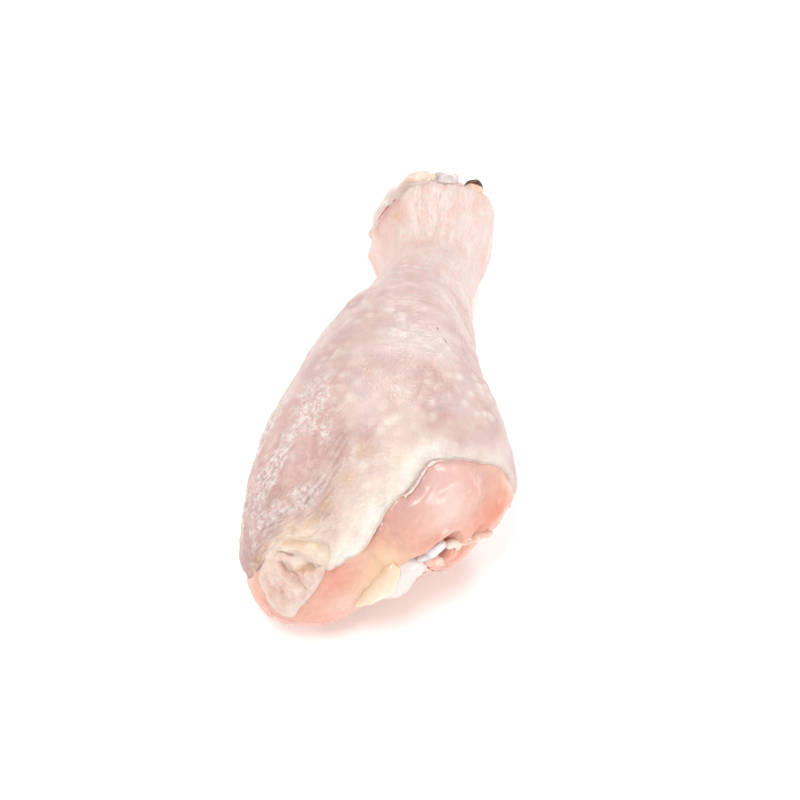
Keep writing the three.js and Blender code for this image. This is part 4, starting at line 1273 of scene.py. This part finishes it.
# stubs of pin feathers left in the skin
stubs = [[(62.7, 66.2), (63.1, 65.8), (63.6, 65.9)], [(59.5, 60.4), (60.0, 61.0), (60.5, 62.0)]]
addSoft("pinFeathers", [
    pathTube(onSkin(stub, 0.3), [0.04, 0.09, 0.05], seed=67, columns=8, count=10) for stub in stubs
], softTissue("featherStub", "#6a4a3a", "#a07a62", 1.5, 0.3, 0.5))

# ---- gristle and tendon round the hock knuckles ----
gristle = {
    "columns": 220, "rings": 34, "startY": 44.5, "hollowY": 54.0,
    "raggedRadius": 14,  # a ring of this radius takes the rim's raggedness from the noise
    "depth": 1.5,  # how far its outside lies under the leg's surface
    "straightY": 60.0,  # past this it runs straight on
    # the rings inside the rim: their size as a share of it, and how far they sink to the hollow's floor
    "hollow": [
        (0.975, -0.25), (0.93, -0.15), (0.88, 0.12), (0.86, 0.45), (0.82, 0.8), (0.7, 1.0), (0.4, 1.05),
    ],
    # angle in degrees, then y of the ragged rim
    "rim": [
        (0, 59.6), (20, 60.0), (36, 60.0), (47, 60.2), (58, 58.6), (67, 57.8), (74, 59.2), (80, 60.2),
        (86, 60.4), (90, 59.6), (94, 59.9), (100, 60.2), (107, 60.3), (113, 60.9), (121, 61.2),
        (129, 61.9), (147, 62.4), (158, 61.8), (175, 60.6), (200, 60.0), (235, 59.0), (270, 59.2),
        (310, 58.6), (340, 60.0), (360, 59.6),
    ],
}


def gristleCollar():
    angle = (np.arange(gristle["columns"]) * 2 * math.pi / gristle["columns"])[None, :]
    ringPlace = gristle["raggedRadius"] * np.stack([np.cos(angle), np.sin(angle)], axis=-1)
    ragged = 0.25 * softNoise(ringPlace, 6, 88) + 0.1 * softNoise(ringPlace, 2.4, 89)
    rimArc = arcAtY(curveThrough(gristle["rim"])(degrees(angle)) + ragged)
    startArc = arcAtY(gristle["startY"])
    arc = startArc + (rimArc - startArc) * np.linspace(0, 1, gristle["rings"])[:, None]
    turn = degrees(angle)
    shallow = window(turn, 108, 128, 165, 185) * smooth(arc, 124, 128)
    flare = window(turn, 84, 94, 108, 127) * smooth(arc, 126, 131.5)
    curl = window(turn, 112, 126, 160, 182) * smooth(arc, 125.5, 131)
    depth = gristle["depth"] - 1.0 * shallow - 1.7 * flare - 0.6 * curl
    straightArc = arcAtY(gristle["straightY"])
    outside = insetPoint(np.minimum(arc, straightArc), angle, depth)
    outside[..., 1] += np.maximum(arc - straightArc, 0)
    fromBone = unit(outside - np.array([bone["x"], 50, bone["z"]]))
    outside = outside + fromBone * (0.25 * softNoise(outside, 3.5, 61))[..., None]
    rim = outside[-1]
    middle = np.stack([bone["x"] + 0 * rim[:, 0], rim[:, 1], bone["z"] + 0 * rim[:, 2]], axis=-1)
    inside = []
    for scale, sink in gristle["hollow"]:
        ring = middle + (rim - middle) * scale
        ring[:, 1] = rim[:, 1] + (gristle["hollowY"] - rim[:, 1]) * sink
        inside.append(ring)
    rings = np.concatenate([outside, np.array(inside)])
    rings[..., 2] = np.maximum(rings[..., 2], 0.6)
    return shellFrom(rings)


hockSoft = {
    # the dark rim along the marrow
    "darkArchPath": [
        (10.8, 58.4, 21.4), (11.6, 58.8, 22.4), (12.7, 59.0, 23.1), (13.8, 59.0, 23.2),
        (14.7, 58.8, 22.6), (15.3, 58.4, 21.6),
    ],
    "darkArchRadii": [0.2, 0.4, 0.55, 0.55, 0.42, 0.2],
    # a streak of blood on the skin's edge, as (distance, angle)
    "streakPath": [
        (127.5, 122.0), (127.0, 126.5), (126.5, 131.0), (125.8, 136.0), (125.3, 141.0), (124.6, 147.0),
    ],
    "streakRadii": [0.05, 0.12, 0.17, 0.15, 0.12, 0.05],
    "tendonPath": [(4, 50, 3.2), (4.2, 56, 3.4), (4.4, 60.2, 4.4), (4.3, 61.4, 6.0)],
    "tendonRadii": [1.2, 1.9, 1.6, 0.9],
    # flat sinews over the knuckles: path, radii and seed
    "sinews": [
        ([(3.4, 58.0, 22.5), (3.8, 60.0, 19.5), (4.1, 60.8, 16.5), (4.2, 60.0, 13.0)],
         [1.2, 1.6, 1.3, 0.5], 91),
        ([(15.3, 56.0, 16.5), (14.6, 59.0, 13.5), (13.2, 60.4, 10.5), (11.2, 60.4, 8.0)],
         [0.8, 1.2, 1.0, 0.4], 92),
        ([(-7.2, 54.0, 13.5), (-6.4, 57.5, 11.0), (-4.8, 60.2, 8.0), (-2.2, 61.0, 5.5)],
         [0.8, 1.3, 1.1, 0.4], 93),
    ],
}
collar = gristleCollar()
tinted = 0.9 * spotAt(collar[0], (13.0, 58.8, 21.5), 2.2) + 0.35 * smooth(-collar[0][:, 1], -57.5, -55)
# the spot on the collar's left whitens a pale band and lifts the shade it falls in, a painted light; the spot
# by the white lump is its own pale colour
paleWithPaintedLight = spotsAt(collar[0], [(0.8, (7.2, 60, 24.5), 2.6), (0.95, (-8, 55, 16), 6.5)])
addSoft("hockGristle", [collar], gristleFinish, "hock_gristle", {
    "tint": np.minimum(tinted, 0.95), "pale": paleWithPaintedLight})
addSoft("hockRim", [
    softLump((1.1, 57.9, 24.2), (1.0, 0.05, 0.12), (3.7, 1.8, 1.9), 81, 0.1),
    softLump((-1.6, 56.9, 22.0), (0.75, 0.2, 0.6), (2.6, 1.3, 1.3), 82, 0.2),
    softLump((-5.0, 55.6, 18.8), (0.6, 0.25, 0.75), (3.0, 1.2, 1.1), 83, 0.2),
], creamFinish)
addSoft("hockMarrow", [softLump((13.2, 58.3, 21.7), (1.0, 0.0, 0.1), (2.2, 1.4, 1.5), 84, 0.06)],
        softTissue("hockMarrow", "#e6b496", "#f6d8c2", 2, 0.5, 0.35))
# a dark brown tube arched along the top of the marrow
addSoft("hockDarkArch", [
    pathTube(hockSoft["darkArchPath"], hockSoft["darkArchRadii"], seed=85, roughness=0.08, columns=16, count=48),
], softTissue("darkBrownArch", "#4f2f26", "#8a5b46", 2, 0.5, 0.35))
streak = pathTube(
    onSkin(hockSoft["streakPath"], 0.1), hockSoft["streakRadii"],
    seed=87, roughness=0.3, columns=10, flatten=0.6)
addSoft("bloodStreak", [streak], softTissue("freshBlood", "#c65a53", "#dd8b82", 1.2, 0.6, 0.25))
addSoft("hockSinews", [
    softLump((7.0, 58.6, 23.8), (1.0, 0.0, 0.05), (2.7, 1.7, 1.8), 86, 0.14),
    *[pathTube(path, radii, seed, roughness=0.2, columns=18, count=36, flatten=0.4)
      for path, radii, seed in hockSoft["sinews"]],
], softTissue("hockSinew", "#cfc0c0", "#e9dfde", 2, 0.5, 0.3))
addSoft("hockTendons", [
    pathTube(hockSoft["tendonPath"], hockSoft["tendonRadii"], seed=64, columns=18, count=30),
], tendonFinish)
